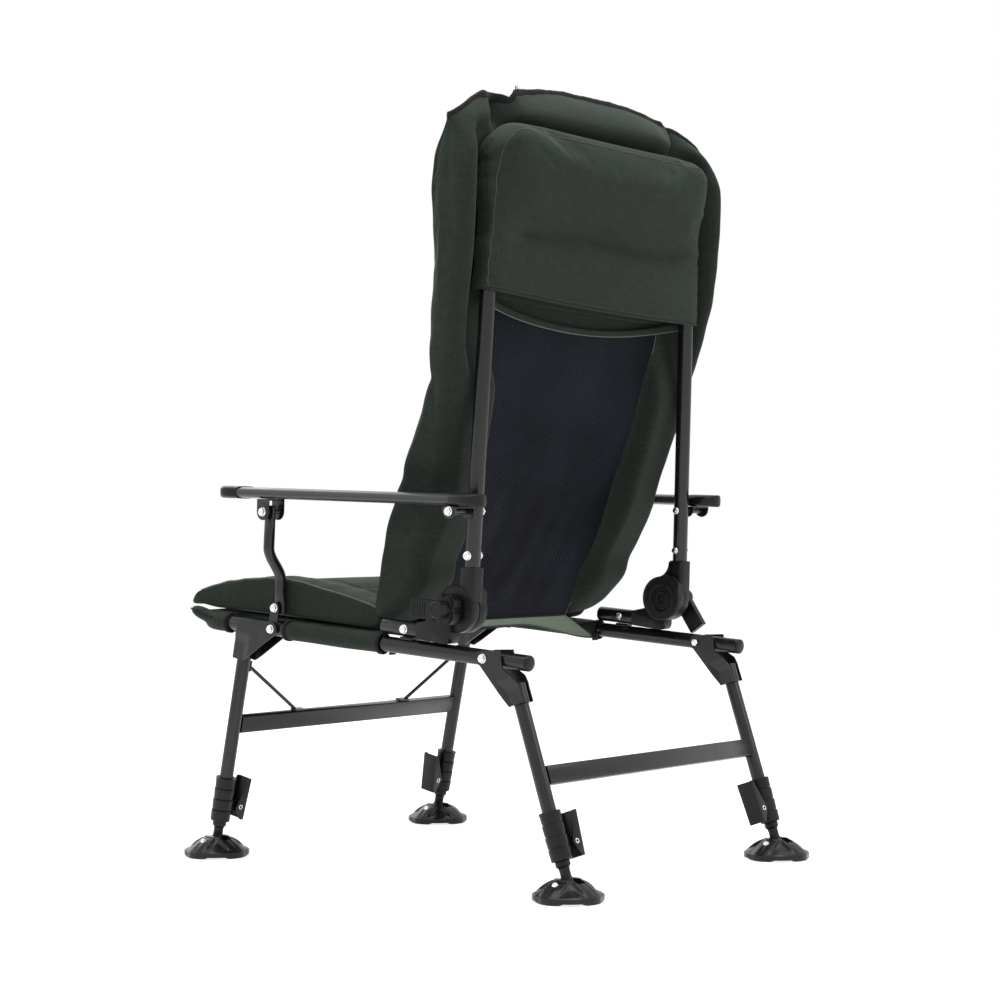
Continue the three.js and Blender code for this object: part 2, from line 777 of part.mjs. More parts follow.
function addBackFrame() {
  const bare = tube(backLine(), railRadius, tubeSides, railRadius - tubeWall);
  const reach = backTubeHalfSpan + railRadius;
  const hole = crossPin(backTubeOffset, armPivotRise, boltRadius + clearance, -reach, reach, slimSides);
  addPiece(back, "back_frame", cut(bare, hole), "frame");
  const innerX = tubeXAt(armPivotRise) - railRadius - clearance - boltNutThickness;
  addPair(back, "arm_rear_pivot_bolt", bolt(backTubeOffset, armPivotRise, armBoltX, innerX), "steel");
}

// Armrests

const armPivot = back.localToWorld(point(0, backTubeOffset, armPivotRise));
const arm = place(chair, armPivot, -armRise);
const armFrontPivot = arm.localToWorld(point(0, -armFrontPivotReach, -armFrontPivotDrop));

// A level plank with one end rounded in plan
function armCap(rootY, endY) {
  const outward = Math.sign(endY - rootY);
  const halfWidth = armWidth / 2 + armCapGrowth;
  const centreY = endY - outward * halfWidth;
  const round = arc(armX, centreY, halfWidth, 0, outward * Math.PI, slimSides);
  const outline = [[armX + halfWidth, rootY], ...round, [armX - halfWidth, rootY]];
  const shape = new THREE.Shape(outline.map(([x, y]) => new THREE.Vector2(x, y)));
  const depth = armThickness + 2 * armCapGrowth - 2 * armCapBevel;
  const bevel = { bevelEnabled: true, bevelThickness: armCapBevel, bevelSize: armCapBevel, bevelSegments: 1 };
  const cap = new THREE.ExtrudeGeometry(shape, { depth, bevelOffset: -armCapBevel, ...bevel });
  return cap.translate(0, 0, armCentreRise - depth / 2);
}

function armrest() {
  const half = armThickness / 2;
  const flat = armWidth / 2 - half;
  const right = arc(armX + flat, armCentreRise, half, -Math.PI / 2, Math.PI / 2, tubeSides / 2);
  const left = arc(armX - flat, armCentreRise, half, Math.PI / 2, 1.5 * Math.PI, tubeSides / 2);
  const shape = new THREE.Shape([...right, ...left].map(([x, z]) => new THREE.Vector2(x, z)));
  const startY = -armFrontReach + armCapLength / 2;
  const length = armFrontReach + armRearReach - armCapLength;
  const bar = new THREE.ExtrudeGeometry(shape, { depth: length, bevelEnabled: false });
  bar.applyMatrix4(new THREE.Matrix4().makeBasis(unitX, unitZ, unitY.clone().negate()));
  bar.translate(0, startY + length, 0);
  const frontCap = armCap(-armFrontReach + armCapLength, -armFrontReach);
  const rearCap = armCap(armRearReach - armCapLength, armRearReach);
  return join(bar, frontCap, rearCap);
}

// A folded U bracket under the armrest, with a round-ended cheek at each side of its bolt.
// The drop is how far the cheeks reach below the bolt's centre; top is the height of the bracket's web.
function armBracket(y, z, innerX, outerX, drop, top) {
  const halfLength = armBracketLength / 2;
  const cheek = [
    [y - halfLength, top],
    ...arc(y, z - drop + halfLength, halfLength, Math.PI, 2 * Math.PI, slimSides),
    [y + halfLength, top],
  ];
  const inner = crossPlate(cheek, innerX, sheetThickness);
  const outer = crossPlate(cheek, outerX - sheetThickness, sheetThickness);
  const web = box(innerX, outerX, y - halfLength, y + halfLength, top - sheetThickness, top);
  const hole = crossPin(y, z, boltRadius + clearance, innerX - overrun, outerX + overrun, slimSides);
  return cut(join(inner, outer, web), hole);
}

function addArmrests() {
  addPair(arm, "armrest", armrest(), "armrest");
  const underTube = armCentreRise - armThickness / 2 - clearance;
  const underCap = underTube - armCapGrowth;
  const rear = armBracket(0, 0, rearBracketInnerX, rearBracketOuterX, armBracketOverhang - overrun, underCap);
  addPair(arm, "arm_rear_bracket", rear, "frame");
  const frontY = -armFrontPivotReach;
  const frontZ = -armFrontPivotDrop;
  const front = armBracket(frontY, frontZ, frontBracketInnerX, frontBracketOuterX, armBracketOverhang, underTube);
  addPair(arm, "arm_front_bracket", front, "frame");
  const endX = frontBracketInnerX - clearance - boltNutThickness;
  const frontBolt = bolt(frontY, frontZ, frontBracketOuterX + clearance, endX);
  addPair(arm, "arm_front_pivot_bolt", frontBolt, "steel");
}

// Armrest struts: each rises from its lug, bends outwards and ends just under the armrest's bolt
const strutPivot = seatPoint(0, strutPivotAlong, strutPivotRise);
const strutRise = armFrontPivot.clone().sub(strutPivot);
const strut = place(chair, strutPivot, -Math.atan2(strutRise.y, strutRise.z));

function armStrut() {
  const length = strutRise.length() - strutHeadShortfall;
  const footX = strutOuterX - strutRadius;
  const start = length * strutBendStartShare;
  const span = length * (strutBendEndShare - strutBendStartShare);
  const curve = evenShares(strutBendSteps).map((share) => {
    const swing = (1 - Math.cos(Math.PI * share)) / 2;
    return point(footX + (strutHeadX - footX) * swing, 0, start + span * share);
  });
  const body = tube([point(footX, 0, -strutRadius), ...curve, point(strutHeadX, 0, length)], strutRadius);
  const holeStart = footX - strutRadius - overrun;
  const hole = crossPin(0, 0, boltRadius + clearance, holeStart, strutOuterX + overrun, slimSides);
  return cut(body, hole);
}

// Legs

// Local frame of a pair of legs: origin at the feet's cross bolts, +Z up the legs.
// The sign turns a reach towards the seat's middle into a local Y.
const frontLegs = {
  name: "front",
  frame: place(chair, point(0, frontFootY, footPivotRise), -frontLegLean),
  toSeat: 1,
  pivot: frontPivot,
  top: frontLegTop,
  barRise: frontBarRise,
};
const rearLegs = {
  name: "rear",
  frame: place(chair, point(0, rearFootY, footPivotRise), rearLegLean),
  toSeat: -1,
  pivot: rearPivot,
  top: rearLegTop,
  barRise: rearBarRise,
};

// The outline of a bracket's cheek, in (reach, rise), from its lower tip round the pivot and back
function cheekOutline(legs, pivotReach, pivotRise) {
  const tail = (from, to) => arc(pivotReach, pivotRise, pivotTailRadius, from, to, slimSides);
  if (legs.name === "front") {
    return [
      [frontBracketTopReach, frontBracketTopRise],
      [frontBracketTipReach, frontBracketTipRise],
      [-frontBracketTipReach, frontBracketTipRise],
      ...tail(-Math.PI / 3, Math.PI / 2 + frontLegLean / 2),
    ];
  }
  return [
    [rearBracketTopReach, rearBracketTopRise],
    [rearNotchReach, rearNotchRise],
    [rearShoulderReach, rearShoulderRise],
    [rearBracketTipReach, rearBracketTipRise],
    [-rearBracketTipReach, rearBracketTipRise],
    ...tail(-Math.PI / 4, Math.PI / 2 + rearLegLean / 2),
  ];
}

function outerLeg(legs) {
  const pivot = inFrameOf(legs.frame, legs.pivot);
  const sign = legs.toSeat;
  const outline = cheekOutline(legs, sign * pivot.y, pivot.z).map(([reach, rise]) => [sign * reach, rise]);
  if (sign < 0) outline.reverse();
  const outer = crossPlate(outline, railCheekX, sheetThickness);
  const inner = crossPlate(outline, innerCheekX, sheetThickness);
  const tipReach = legs.name === "front" ? frontBracketTipReach : rearBracketTipReach;
  const tipRise = legs.name === "front" ? frontBracketTipRise : rearBracketTipRise;
  const webTop = legs.name === "front" ? frontWebTopRise : rearLegTop;
  const ys = [sign * tipReach, sign * (tipReach + 2 * sheetThickness)].sort((a, b) => a - b);
  const web = box(innerCheekX, cheekOuterX, ...ys, tipRise, webTop);
  const at = (rise) => point(railHalfSpan, 0, rise);
  const bore = legRadius - tubeWall;
  const room = tube([at(outerLegBottom - overrun), at(legs.top + overrun)], bore);
  const leg = tube([at(outerLegBottom), at(legs.top)], legRadius);
  const hole = crossPin(
    pivot.y, pivot.z, boltRadius + clearance, innerCheekX - overrun, cheekOuterX + overrun, slimSides,
  );
  return cut(join(outer, inner, web, leg), room, hole);
}

// A rectangular tube between the two legs' inner sides
function crossBar(legs) {
  const half = railHalfSpan - legRadius - clearance;
  const rectangle = (high, deep, corner) => {
    const [y, z] = [deep / 2 - corner, high / 2 - corner];
    const quarter = Math.PI / 2;
    return [
      ...arc(y, z, corner, 0, quarter, 2),
      ...arc(-y, z, corner, quarter, 2 * quarter, 2),
      ...arc(-y, -z, corner, 2 * quarter, 3 * quarter, 2),
      ...arc(y, -z, corner, 3 * quarter, 4 * quarter, 2),
    ].map(([a, b]) => [a, b + legs.barRise]);
  };
  const whole = crossPlate(rectangle(barHeight, barDepth, barCorner), -half, 2 * half);
  const hollow = rectangle(barHeight - 2 * tubeWall, barDepth - 2 * tubeWall, barCorner - tubeWall / 2);
  return cut(whole, crossPlate(hollow, -half - overrun, 2 * half + 2 * overrun));
}

// A thin rod from the leg's inner side down to the top of the cross bar, with a flattened tab at each end
function frontStay() {
  const footZ = frontBarRise + barHeight / 2 + clearance + stayTabThickness / 2;
  const headX = railHalfSpan - legRadius - clearance - stayTabThickness / 2;
  const foot = point(stayLowerX, 0, footZ);
  const head = point(headX, 0, stayTopRise);
  const along = head.clone().sub(foot).normalize();
  const rod = tube([
    foot.clone().addScaledVector(along, stayTabThickness),
    head.clone().addScaledVector(along, -stayTabThickness),
  ], stayRadius, slimSides);
  const halfTab = stayTabThickness / 2;
  const halfWidth = stayTabWidth / 2;
  const lower = box(
    foot.x - stayTabLength, foot.x + stayTabWidth / 2, -halfWidth, halfWidth, footZ - halfTab, footZ + halfTab,
  );
  const halfLength = stayTabLength / 2;
  const upper = box(
    headX - halfTab, headX + halfTab, -halfWidth, halfWidth, head.z - halfLength, head.z + halfLength,
  );
  const floor = box(
    foot.x - stayTabLength, headX, -barDepth, barDepth, frontBarRise, frontBarRise + barHeight / 2 + clearance,
  );
  const legRoom = box(headX + halfTab, railHalfSpan, -legRadius, legRadius, frontBarRise, frontLegTop);
  return cut(join(rod, lower, upper), floor, legRoom);
}

// A ribbed sleeve round the leg, with a lug for the lever's pin on its inner side
function clampCollar() {
  const step = collarLength / (2 * collarBands);
  const bore = legRadius + clearance;
  const profile = [[bore, collarBottom]];
  for (let band = 0; band < collarBands; band += 1) {
    const low = collarBottom + 2 * band * step;
    profile.push([collarRadius - collarBandDepth, low]);
    profile.push([collarRadius, low + step / 2]);
    profile.push([collarRadius, low + 1.5 * step]);
  }
  profile.push([collarRadius - collarBandDepth, collarBottom + collarLength]);
  profile.push([bore, collarBottom + collarLength]);
  profile.push([bore, collarBottom]);
  const ring = new THREE.LatheGeometry(profile.map(([r, z]) => new THREE.Vector2(r, z)), collarSides);
  ring.rotateX(Math.PI / 2);
  ring.translate(railHalfSpan, 0, 0);
  const lugEnd = railHalfSpan - leverPivotReach - leverPinRadius - sheetThickness;
  const lug = box(
    lugEnd, railHalfSpan - bore - sheetThickness, -collarLugWidth / 2, collarLugWidth / 2,
    leverPivotRise - collarLugHeight / 2, leverPivotRise + collarLugHeight / 2,
  );
  const pinX = railHalfSpan - leverPivotReach;
  const bit = tube([
    point(pinX, -collarLugWidth, leverPivotRise),
    point(pinX, collarLugWidth, leverPivotRise),
  ], leverPinRadius + clearance, tubeSides);
  return cut(join(ring, lug), bit);
}

// A channel-shaped cam lever over the collar's lug, with its pin
function clampLever() {
  const pinX = railHalfSpan - leverPivotReach;
  const faceX = pinX - leverDepth;
  const topZ = leverPivotRise + leverTop;
  const lowZ = leverPivotRise - leverDrop;
  const flangeRoot = railHalfSpan - collarRadius - clearance - sheetThickness;
  const outline = [
    [faceX, lowZ],
    [faceX + leverTipWidth, lowZ],
    [flangeRoot, leverPivotRise],
    [faceX - leverFlare + leverTipWidth, topZ],
    [faceX - leverFlare, topZ],
  ];
  const shape = new THREE.Shape(outline.map(([x, z]) => new THREE.Vector2(x, z)));
  const block = new THREE.ExtrudeGeometry(shape, { depth: leverWidth, bevelEnabled: false });
  block.applyMatrix4(new THREE.Matrix4().makeBasis(unitX, unitZ, unitY.clone().negate()));
  block.translate(0, leverWidth / 2, 0);
  const halfRoom = leverWidth / 2 - leverWall;
  const roomShape = new THREE.Shape([
    [faceX + leverWall, lowZ - overrun],
    [railHalfSpan, lowZ - overrun],
    [railHalfSpan, topZ],
    [faceX - leverFlare + leverWall, topZ],
  ].map(([x, z]) => new THREE.Vector2(x, z)));
  const room = new THREE.ExtrudeGeometry(roomShape, { depth: 2 * halfRoom, bevelEnabled: false });
  room.applyMatrix4(new THREE.Matrix4().makeBasis(unitX, unitZ, unitY.clone().negate()));
  room.translate(0, halfRoom, 0);
  const pin = tube([
    point(pinX, -leverWidth / 2 + leverWall / 2, leverPivotRise),
    point(pinX, leverWidth / 2 - leverWall / 2, leverPivotRise),
  ], leverPinRadius, tubeSides);
  return join(cut(block, room), pin);
}

// A plain rod with a shoulder under the collar and an eye for the foot's bolt
function innerLeg() {
  const shoulderTop = collarBottom - clearance;
  const eyeRadius = footPinRadius + clearance;
  const at = (rise) => point(railHalfSpan, 0, rise);
  const stem = tube([at(-innerLegRadius - footPinRadius / 2), at(innerLegTop)], innerLegRadius);
  const bush = tube([at(shoulderTop - bushHeight), at(shoulderTop)], bushRadius);
  const eye = crossPin(0, 0, eyeRadius, railHalfSpan - legRadius, railHalfSpan + legRadius);
  return cut(join(stem, bush), eye);
}

// A dished foot with lobes and valleys, a slotted hub and the pin that the inner leg swings on
function mudFoot() {
  const profile = [
    [0, 0],
    [footRadius - footRim / 2, 0],
    [footRadius, footRim / 3],
    [footRadius, footRim],
    [(footRadius + footHubRadius) / 2, (footRim + footHeight) / 2],
    [footHubRadius, footHeight - overrun],
    [footHubRadius - overrun, footHeight],
    [0, footHeight],
  ];
  const dish = new THREE.LatheGeometry(profile.map(([r, z]) => new THREE.Vector2(r, z)), footSides);
  dish.rotateX(Math.PI / 2);
  const spots = dish.attributes.position;
  for (let i = 0; i < spots.count; i += 1) {
    const [x, y, z] = [spots.getX(i), spots.getY(i), spots.getZ(i)];
    const radius = Math.hypot(x, y);
    const valley = (1 - Math.cos(footLobes * Math.atan2(y, x))) / 2;
    const onSlope = radius > footHubRadius + overrun && radius < footRadius - overrun && z > footRim;
    const shrink = radius > footHubRadius + overrun ? 1 - footWaistShare * valley : 1;
    const height = onSlope ? z * (1 - footValleyShare * valley) : z;
    spots.setXYZ(i, x * shrink, y * shrink, height);
  }
  const halfSlot = innerLegRadius + clearance * 2;
  const slotTop = footHeight + overrun;
  const slot = box(-halfSlot, halfSlot, -footSlotHalfLength, footSlotHalfLength, footSlotFloor, slotTop);
  const pin = crossPin(0, footPivotRise, footPinRadius, -footHubRadius + overrun, footHubRadius - overrun);
  return join(cut(dish, slot), pin);
}

function addLegs(legs) {
  const { name, frame } = legs;
  addPair(frame, `${name}_leg`, outerLeg(legs), "frame");
  addPiece(frame, `${name}_cross_bar`, crossBar(legs), "frame");
  if (name === "front") addPair(frame, "front_stay", frontStay(), "frame");
  addPair(frame, `${name}_clamp_collar`, clampCollar(), "plastic");
  addPair(frame, `${name}_clamp_lever`, clampLever(), "plastic");
  addPair(frame, `${name}_inner_leg`, innerLeg(), "frame");
  const footY = frame.position.y;
  for (const [side, x] of [["left", railHalfSpan], ["right", -railHalfSpan]]) {
    const holder = place(chair, point(x, footY, 0), 0);
    addPiece(holder, `${name}_foot_${side}`, mudFoot(), "plastic");
  }
}

// Cloth and pads

// The sling: a sagging sheet between the rails, with sleeves round them
function seatSling() {
  const inner = railRadius + clearance;
  const outer = inner + clothThickness;
  const frontSleeve = tube(frameLine(sleeveGapEnd), outer);
  const rail = (along) => point(railHalfSpan, -along, 0);
  const sideSleeve = tube([rail(slingRearAlong), rail(sleeveGapStart)], outer);
  const topAt = (u, v) => {
    const along = slingRearAlong + (frameFrontAlong - slingRearAlong) * v;
    const sag = slingSag * (1 - u * u) * Math.sin(Math.PI * (1 - v / 2));
    return point(railHalfSpan * u, -along, outer - sag);
  };
  const bottomAt = (u, v) => topAt(u, v).setZ(topAt(u, v).z - clothThickness);
  const us = acrossShares(evenShares(4));
  const vs = evenShares(6);
  const sheet = bodyBetween((u, v) => bottomAt(u, v), topAt, us, vs);
  const notch = (side) => box(
    side > 0 ? innerCheekX - cheekRoom : -railHalfSpan - overrun - outer,
    side > 0 ? railHalfSpan + overrun + outer : -innerCheekX + cheekRoom,
    -sleeveGapEnd, -sleeveGapStart, -outer, outer + overrun,
  );
  const room = tube(frameLine(), inner);
  const solid = join(sheet, frontSleeve, sideSleeve, mirrored(sideSleeve));
  return cut(solid, room, notch(1), notch(-1));
}

function seatPad() {
  const length = seatPadFrontAlong - seatPadRearAlong;
  const padY = (v) => -seatPadRearAlong - length * v;
  const rimDrop = (u) => 1 - Math.max(0, Math.abs(u) - rimStartShare) / (1 - rimStartShare);
  const top = (u, v) => {
    const half = seatPadHalfWidth * readShares(seatPlanShares, v);
    const crown = seatPadSeat + (seatPadCrown - seatPadSeat) * readShares(seatTopShares, v);
    const channel = seatPadGroove * groove(Math.abs(u) - seatGrooveShare, grooveWidthShare);
    const rounded = Math.sqrt(Math.max(0, rimDrop(u)));
    const low = bottom(u, v).z + seatPadEdge;
    const swell = (crown - low) * rounded - channel * Math.sin(Math.PI * v);
    return point(half * u, padY(v), low + Math.max(0, swell));
  };
  const bottom = (u, v) => {
    const half = seatPadHalfWidth * readShares(seatPlanShares, v);
    const tuck = seatPadFrontTuck * THREE.MathUtils.smoothstep(v, 1 - 2 * grooveWidthShare, 1);
    const edge = seatPadEdge * (1 - rimDrop(u));
    return point(half * u, padY(v), seatPadSeat + tuck + edge);
  };
  return bodyBetween(bottom, top, acrossShares(seatHalfShares), seatAlongShares);
}

const backPadTopAt = (u) => {
  const place = Math.abs(u);
  if (place < channelShare) return backPadHeight;
  const part = (place - channelShare) / (1 - channelShare);
  return backPadHeight - wingDrop - (wingCornerDrop - wingDrop) * part;
};

const backX = (u, height) => backPadHalfWidth * readShares(halfWidthShares, height / backPadHeight) * u;
const meshDepth = (height) => backPadReach * readShares(meshDepthShares, height / backPadHeight);

// The front surface: three channels between two stitched grooves, with a crease across at the lumbar seam
function backPadFront(u, v) {
  const height = backPadTopAt(u) * v;
  const share = height / backPadHeight;
  const depth = backPadReach * readShares(frontDepthShares, share);
  const channel = backPadGroove * groove(Math.abs(u) - channelShare, grooveWidthShare / 2);
  const crease = backPadCrease * groove(share - creaseShare, grooveWidthShare / 3);
  const rim = Math.max(0, Math.abs(u) - rimStartShare) / (1 - rimStartShare);
  const rear = backPadRear(u, v).y;
  const round = (rear - backPadEdge - depth) * (1 - Math.sqrt(Math.max(0, 1 - rim * rim))) * rimRoundShare;
  const nearTop = Math.max(0, v - topRoundShare) / (1 - topRoundShare);
  const topRound = (rear - backPadEdge - depth) * nearTop * nearTop;
  const y = Math.min(rear - backPadEdge, depth + channel + crease + Math.max(round, topRound * rimRoundShare));
  return point(backX(u, height), y, backPadBottom + height);
}

// The rear surface: flat behind the mesh panel and the frame, with the wings standing back beyond them
function backPadRear(u, v) {
  const height = backPadTopAt(u) * v;
  const share = height / backPadHeight;
  const wing = backPadReach * readShares(wingBackShares, share);
  const lowPart = THREE.MathUtils.smoothstep(share, lowWingEndShare, highWingStartShare);
  const lowStart = THREE.MathUtils.smoothstep(Math.abs(u), meshEdgeShare, meshEdgeShare + grooveWidthShare);
  const highStart = THREE.MathUtils.smoothstep(Math.abs(u), wingStartShare, wingStartShare + grooveWidthShare);
  const stand = lowStart * (1 - lowPart) + highStart * lowPart;
  const rim = Math.max(0, Math.abs(u) - rearRimShare) / (1 - rearRimShare);
  const rounded = 1 - rim * rim * rimRoundShare;
  return point(backX(u, height), meshDepth(height) - padRearGap + wing * stand * rounded, backPadBottom + height);
}

function backPad() {
  const whole = bodyBetween(backPadFront, backPadRear, acrossShares(backHalfShares), backUpShares);
  return cut(whole, meshSlab(0, backingRoom, overrun), hoodSlab(0, backingRoom, overrun));
}

// A slab behind the mesh panel's line, from one lift off it to another
function meshSlab(frontLift, rearLift, grow) {
  const surface = (lift) => (u, v) => {
    const z = meshBottom + (meshTop - meshBottom) * v;
    const half = meshHalfWidth * readShares(meshWidthShares, v) + grow;
    const height = z - backPadBottom;
    const below = Math.min(0, height);
    return point(half * u, meshDepth(Math.max(0, height)) + below * meshTuckShare + lift, z);
  };
  return bodyBetween(surface(frontLift), surface(rearLift), acrossShares(evenShares(3)), evenShares(16));
}

const hoodAcrossShares = acrossShares(hoodHalfShares);
const hoodHeight = (v) => hoodBottom + (hoodTop - hoodBottom) * v;

// A point of the hood's front face, which lies along the pad's rear face
function hoodFront(u, v, lift, grow = 0) {
  const half = hoodHalfWidth * readShares(hoodWidthShares, v) + grow;
  return point(half * u, meshDepth(hoodHeight(v) - backPadBottom) + lift, hoodHeight(v));
}

function hoodSlab(frontLift, rearLift, grow) {
  const surface = (lift) => (u, v) => hoodFront(u, v, lift, grow);
  return bodyBetween(surface(frontLift), surface(rearLift), hoodAcrossShares, hoodUpShares);
}

function headHood() {
  const creaseAt = (hoodCreaseRise - hoodBottom) / (hoodTop - hoodBottom);
  const front = (u, v) => hoodFront(u, v, clearance);
  const rear = (u, v) => {
    const near = front(u, v);
    const tubeY = backTubeOffset * Math.cos(backLean) + near.z * Math.tan(backLean);
    const flat = tubeY + railRadius + clearance + hoodFlapWall;
    const plump = hoodPlump * Math.sin(Math.PI * THREE.MathUtils.smoothstep(v, creaseAt, hoodPlumpEnd));
    const bulge = plump * Math.sqrt(1 - Math.abs(u) ** hoodSquareness);
    const closing = THREE.MathUtils.smoothstep(v, hoodClosingStart, 1);
    const y = flat + bulge;
    return near.setY(y + (near.y + backPadEdge - y) * closing);
  };
  const solid = bodyBetween(front, rear, hoodAcrossShares, hoodUpShares);
  const line = backLine().map((p) => p.applyAxisAngle(unitX, -backLean));
  line[0].lerp(line[1], hoodRoomStartShare);
  line[line.length - 1].lerp(line[line.length - 2], hoodRoomStartShare);
  return cut(solid, tube(line, railRadius + 2 * clearance));
}

function addSoftPieces() {
  addPiece(seat, "seat_sling", seatSling(), "cloth");
  addPiece(seat, "seat_pad", seatPad(), "cloth");
  const upright = place(chair, hingePoint, 0);
  addPiece(upright, "back_pad", backPad(), "cloth");
  const mesh = meshSlab(clearance, clearance + meshThickness, 0);
  addPiece(upright, "back_mesh_panel", mesh, "mesh");
  addPiece(upright, "head_hood", headHood(), "cloth");
}

addSeatFrame();
addHinges();
addBackFrame();
addArmrests();
addPair(strut, "arm_strut", armStrut(), "frame");
addLegs(frontLegs);
addLegs(rearLegs);
addSoftPieces();

export default chair;
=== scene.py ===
"""Carp fishing chair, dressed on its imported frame.

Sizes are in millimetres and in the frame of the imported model: +Z is up, -Y is the front of the chair and +X
is the sitter's left. Meshes are scaled to metres once, when they are put into Blender.
"""

from __future__ import annotations

import logging
import math
from dataclasses import dataclass, field
from enum import Enum

import bmesh
import bpy
import numpy as np
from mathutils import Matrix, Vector


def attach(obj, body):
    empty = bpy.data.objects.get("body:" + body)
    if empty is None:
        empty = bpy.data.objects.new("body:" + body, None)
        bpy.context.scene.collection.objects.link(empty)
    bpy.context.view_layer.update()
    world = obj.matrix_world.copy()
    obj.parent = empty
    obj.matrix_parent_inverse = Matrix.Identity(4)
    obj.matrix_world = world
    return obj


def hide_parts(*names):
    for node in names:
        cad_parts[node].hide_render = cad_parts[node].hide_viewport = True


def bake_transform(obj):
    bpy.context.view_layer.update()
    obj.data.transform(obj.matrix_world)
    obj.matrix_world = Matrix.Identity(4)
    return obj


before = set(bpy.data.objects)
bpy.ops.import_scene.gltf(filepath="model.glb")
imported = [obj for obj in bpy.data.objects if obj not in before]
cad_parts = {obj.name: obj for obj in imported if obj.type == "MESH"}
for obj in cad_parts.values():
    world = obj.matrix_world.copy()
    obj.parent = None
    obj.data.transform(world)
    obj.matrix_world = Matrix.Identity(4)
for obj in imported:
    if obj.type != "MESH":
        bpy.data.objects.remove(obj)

Array = np.ndarray
METRES = 0.001
MIRROR = np.array([-1.0, 1.0, 1.0])
SWELL_STEPS = 20
LOG = logging.getLogger("chair")


# Curves and shares


def smoothstep(value: Array | float, low: float, high: float) -> Array:
    """Rises from 0 at low to 1 at high, level at both ends: 3 t squared less 2 t cubed."""
    part = np.clip((np.asarray(value, float) - low) / (high - low), 0.0, 1.0)
    return part * part * (3.0 - 2.0 * part)


def hump(value: Array, centre: float, width: float) -> Array:
    """A bell of height 1 at the centre: e to the power of minus the squared share of the width."""
    return np.exp(-(((np.asarray(value, float) - centre) / width) ** 2))


def through(rows: tuple[tuple[float, float], ...], at: Array) -> Array:
    """A smooth line through rows of place and value, which never swings past them.

    Each slope is the weighted harmonic mean of its two neighbours, and cubic Hermite stretches join them.

    Args:
        rows: Pairs of place and value, in rising order of place.
        at: Places to read.

    Returns:
        The values there.
    """
    places, values = np.array(rows, float).T
    gaps = np.diff(places)
    rates = np.diff(values) / gaps
    slopes = np.zeros_like(values)
    before, after = rates[:-1], rates[1:]
    same = before * after > 0
    first, second = 2 * gaps[1:] + gaps[:-1], gaps[1:] + 2 * gaps[:-1]
    safe_before, safe_after = np.where(same, before, 1.0), np.where(same, after, 1.0)
    slopes[1:-1] = np.where(same, (first + second) / (first / safe_before + second / safe_after), 0.0)
    slopes[0], slopes[-1] = rates[0], rates[-1]
    at = np.clip(np.asarray(at, float), places[0], places[-1])
    i = np.clip(np.searchsorted(places, at, side="right") - 1, 0, len(gaps) - 1)
    t = (at - places[i]) / gaps[i]
    start = (2 * t**3 - 3 * t**2 + 1) * values[i] + (t**3 - 2 * t**2 + t) * gaps[i] * slopes[i]
    return start + (3 * t**2 - 2 * t**3) * values[i + 1] + (t**3 - t**2) * gaps[i] * slopes[i + 1]


def unit(vectors: Array) -> Array:
    """Vectors of length 1 in the same directions."""
    return vectors / np.maximum(np.linalg.norm(vectors, axis=-1, keepdims=True), 1e-12)


def together(*values: Array | float) -> Array:
    """Arrays or numbers spread to one shape and joined along a new last axis."""
    return np.stack(np.broadcast_arrays(*(np.asarray(v, float) for v in values)), axis=-1)


def xyz(x: Array | float, y: Array | float, z: Array | float) -> Array:
    """Points from three arrays or numbers."""
    return together(x, y, z)


def full_turn(sides: int) -> Array:
    """Angles once round a circle, of which the last one meets the first."""
    return np.linspace(0, 2 * math.pi, sides + 1)


def dome(u: Array, power: float) -> Array:
    """How full a rounded form is at each place across: (1 - |u|^n)^(1/n)."""
    return (1 - np.clip(np.abs(u), 0, 1) ** power) ** (1 / power)


def crowded(power: float, first: float, rim_places: int, flat_places: int) -> Array:
    """A row of places from -1 to 1: even in the middle, and crowding towards each edge as a dome falls.

    Args:
        power: The dome's power.
        first: Where the crowding starts, as a height that falls evenly to 0 at the edge.
        rim_places: Number of crowding places on a side.
        flat_places: Number of even places on a side.

    Returns:
        The places, as one row.
    """
    rim = dome(np.linspace(first, 0, rim_places), power)
    half = np.concatenate([np.linspace(0, rim[0], flat_places)[:-1], rim])
    return np.concatenate([-half[::-1], half[1:]])[None, :]


def lengths(path: Array) -> Array:
    """The distance along a path at each of its points."""
    return np.concatenate([[0.0], np.cumsum(np.linalg.norm(np.diff(path, axis=0), axis=1))])


def at_lengths(path: Array, places: Array) -> Array:
    """The points of a path at distances along it."""
    along = lengths(path)
    return np.stack([np.interp(places, along, path[:, i]) for i in range(3)], axis=-1)


def both_halves(half: Array) -> Array:
    """A line from the left side to the middle, and on to the right side as its mirror image."""
    return np.vstack([half, half[::-1] * MIRROR])


def ripple(points: Array, pitch: float, seed: int) -> Array:
    """An uneven wave between about -1 and 1: five sines in seeded directions and phases, averaged.

    Args:
        points: Places in millimetres, with the axis last.
        pitch: Usual distance between crests.
        seed: Chooses the directions and phases.

    Returns:
        The wave's height at each place.
    """
    random = np.random.default_rng(seed)
    directions = unit(random.normal(size=(5, 3)))
    waves = directions * random.uniform(0.6, 1.5, size=(5, 1)) * 2 * math.pi / pitch
    return np.sin(points @ waves.T + random.uniform(0, 2 * math.pi, 5)).mean(axis=-1) * 1.6


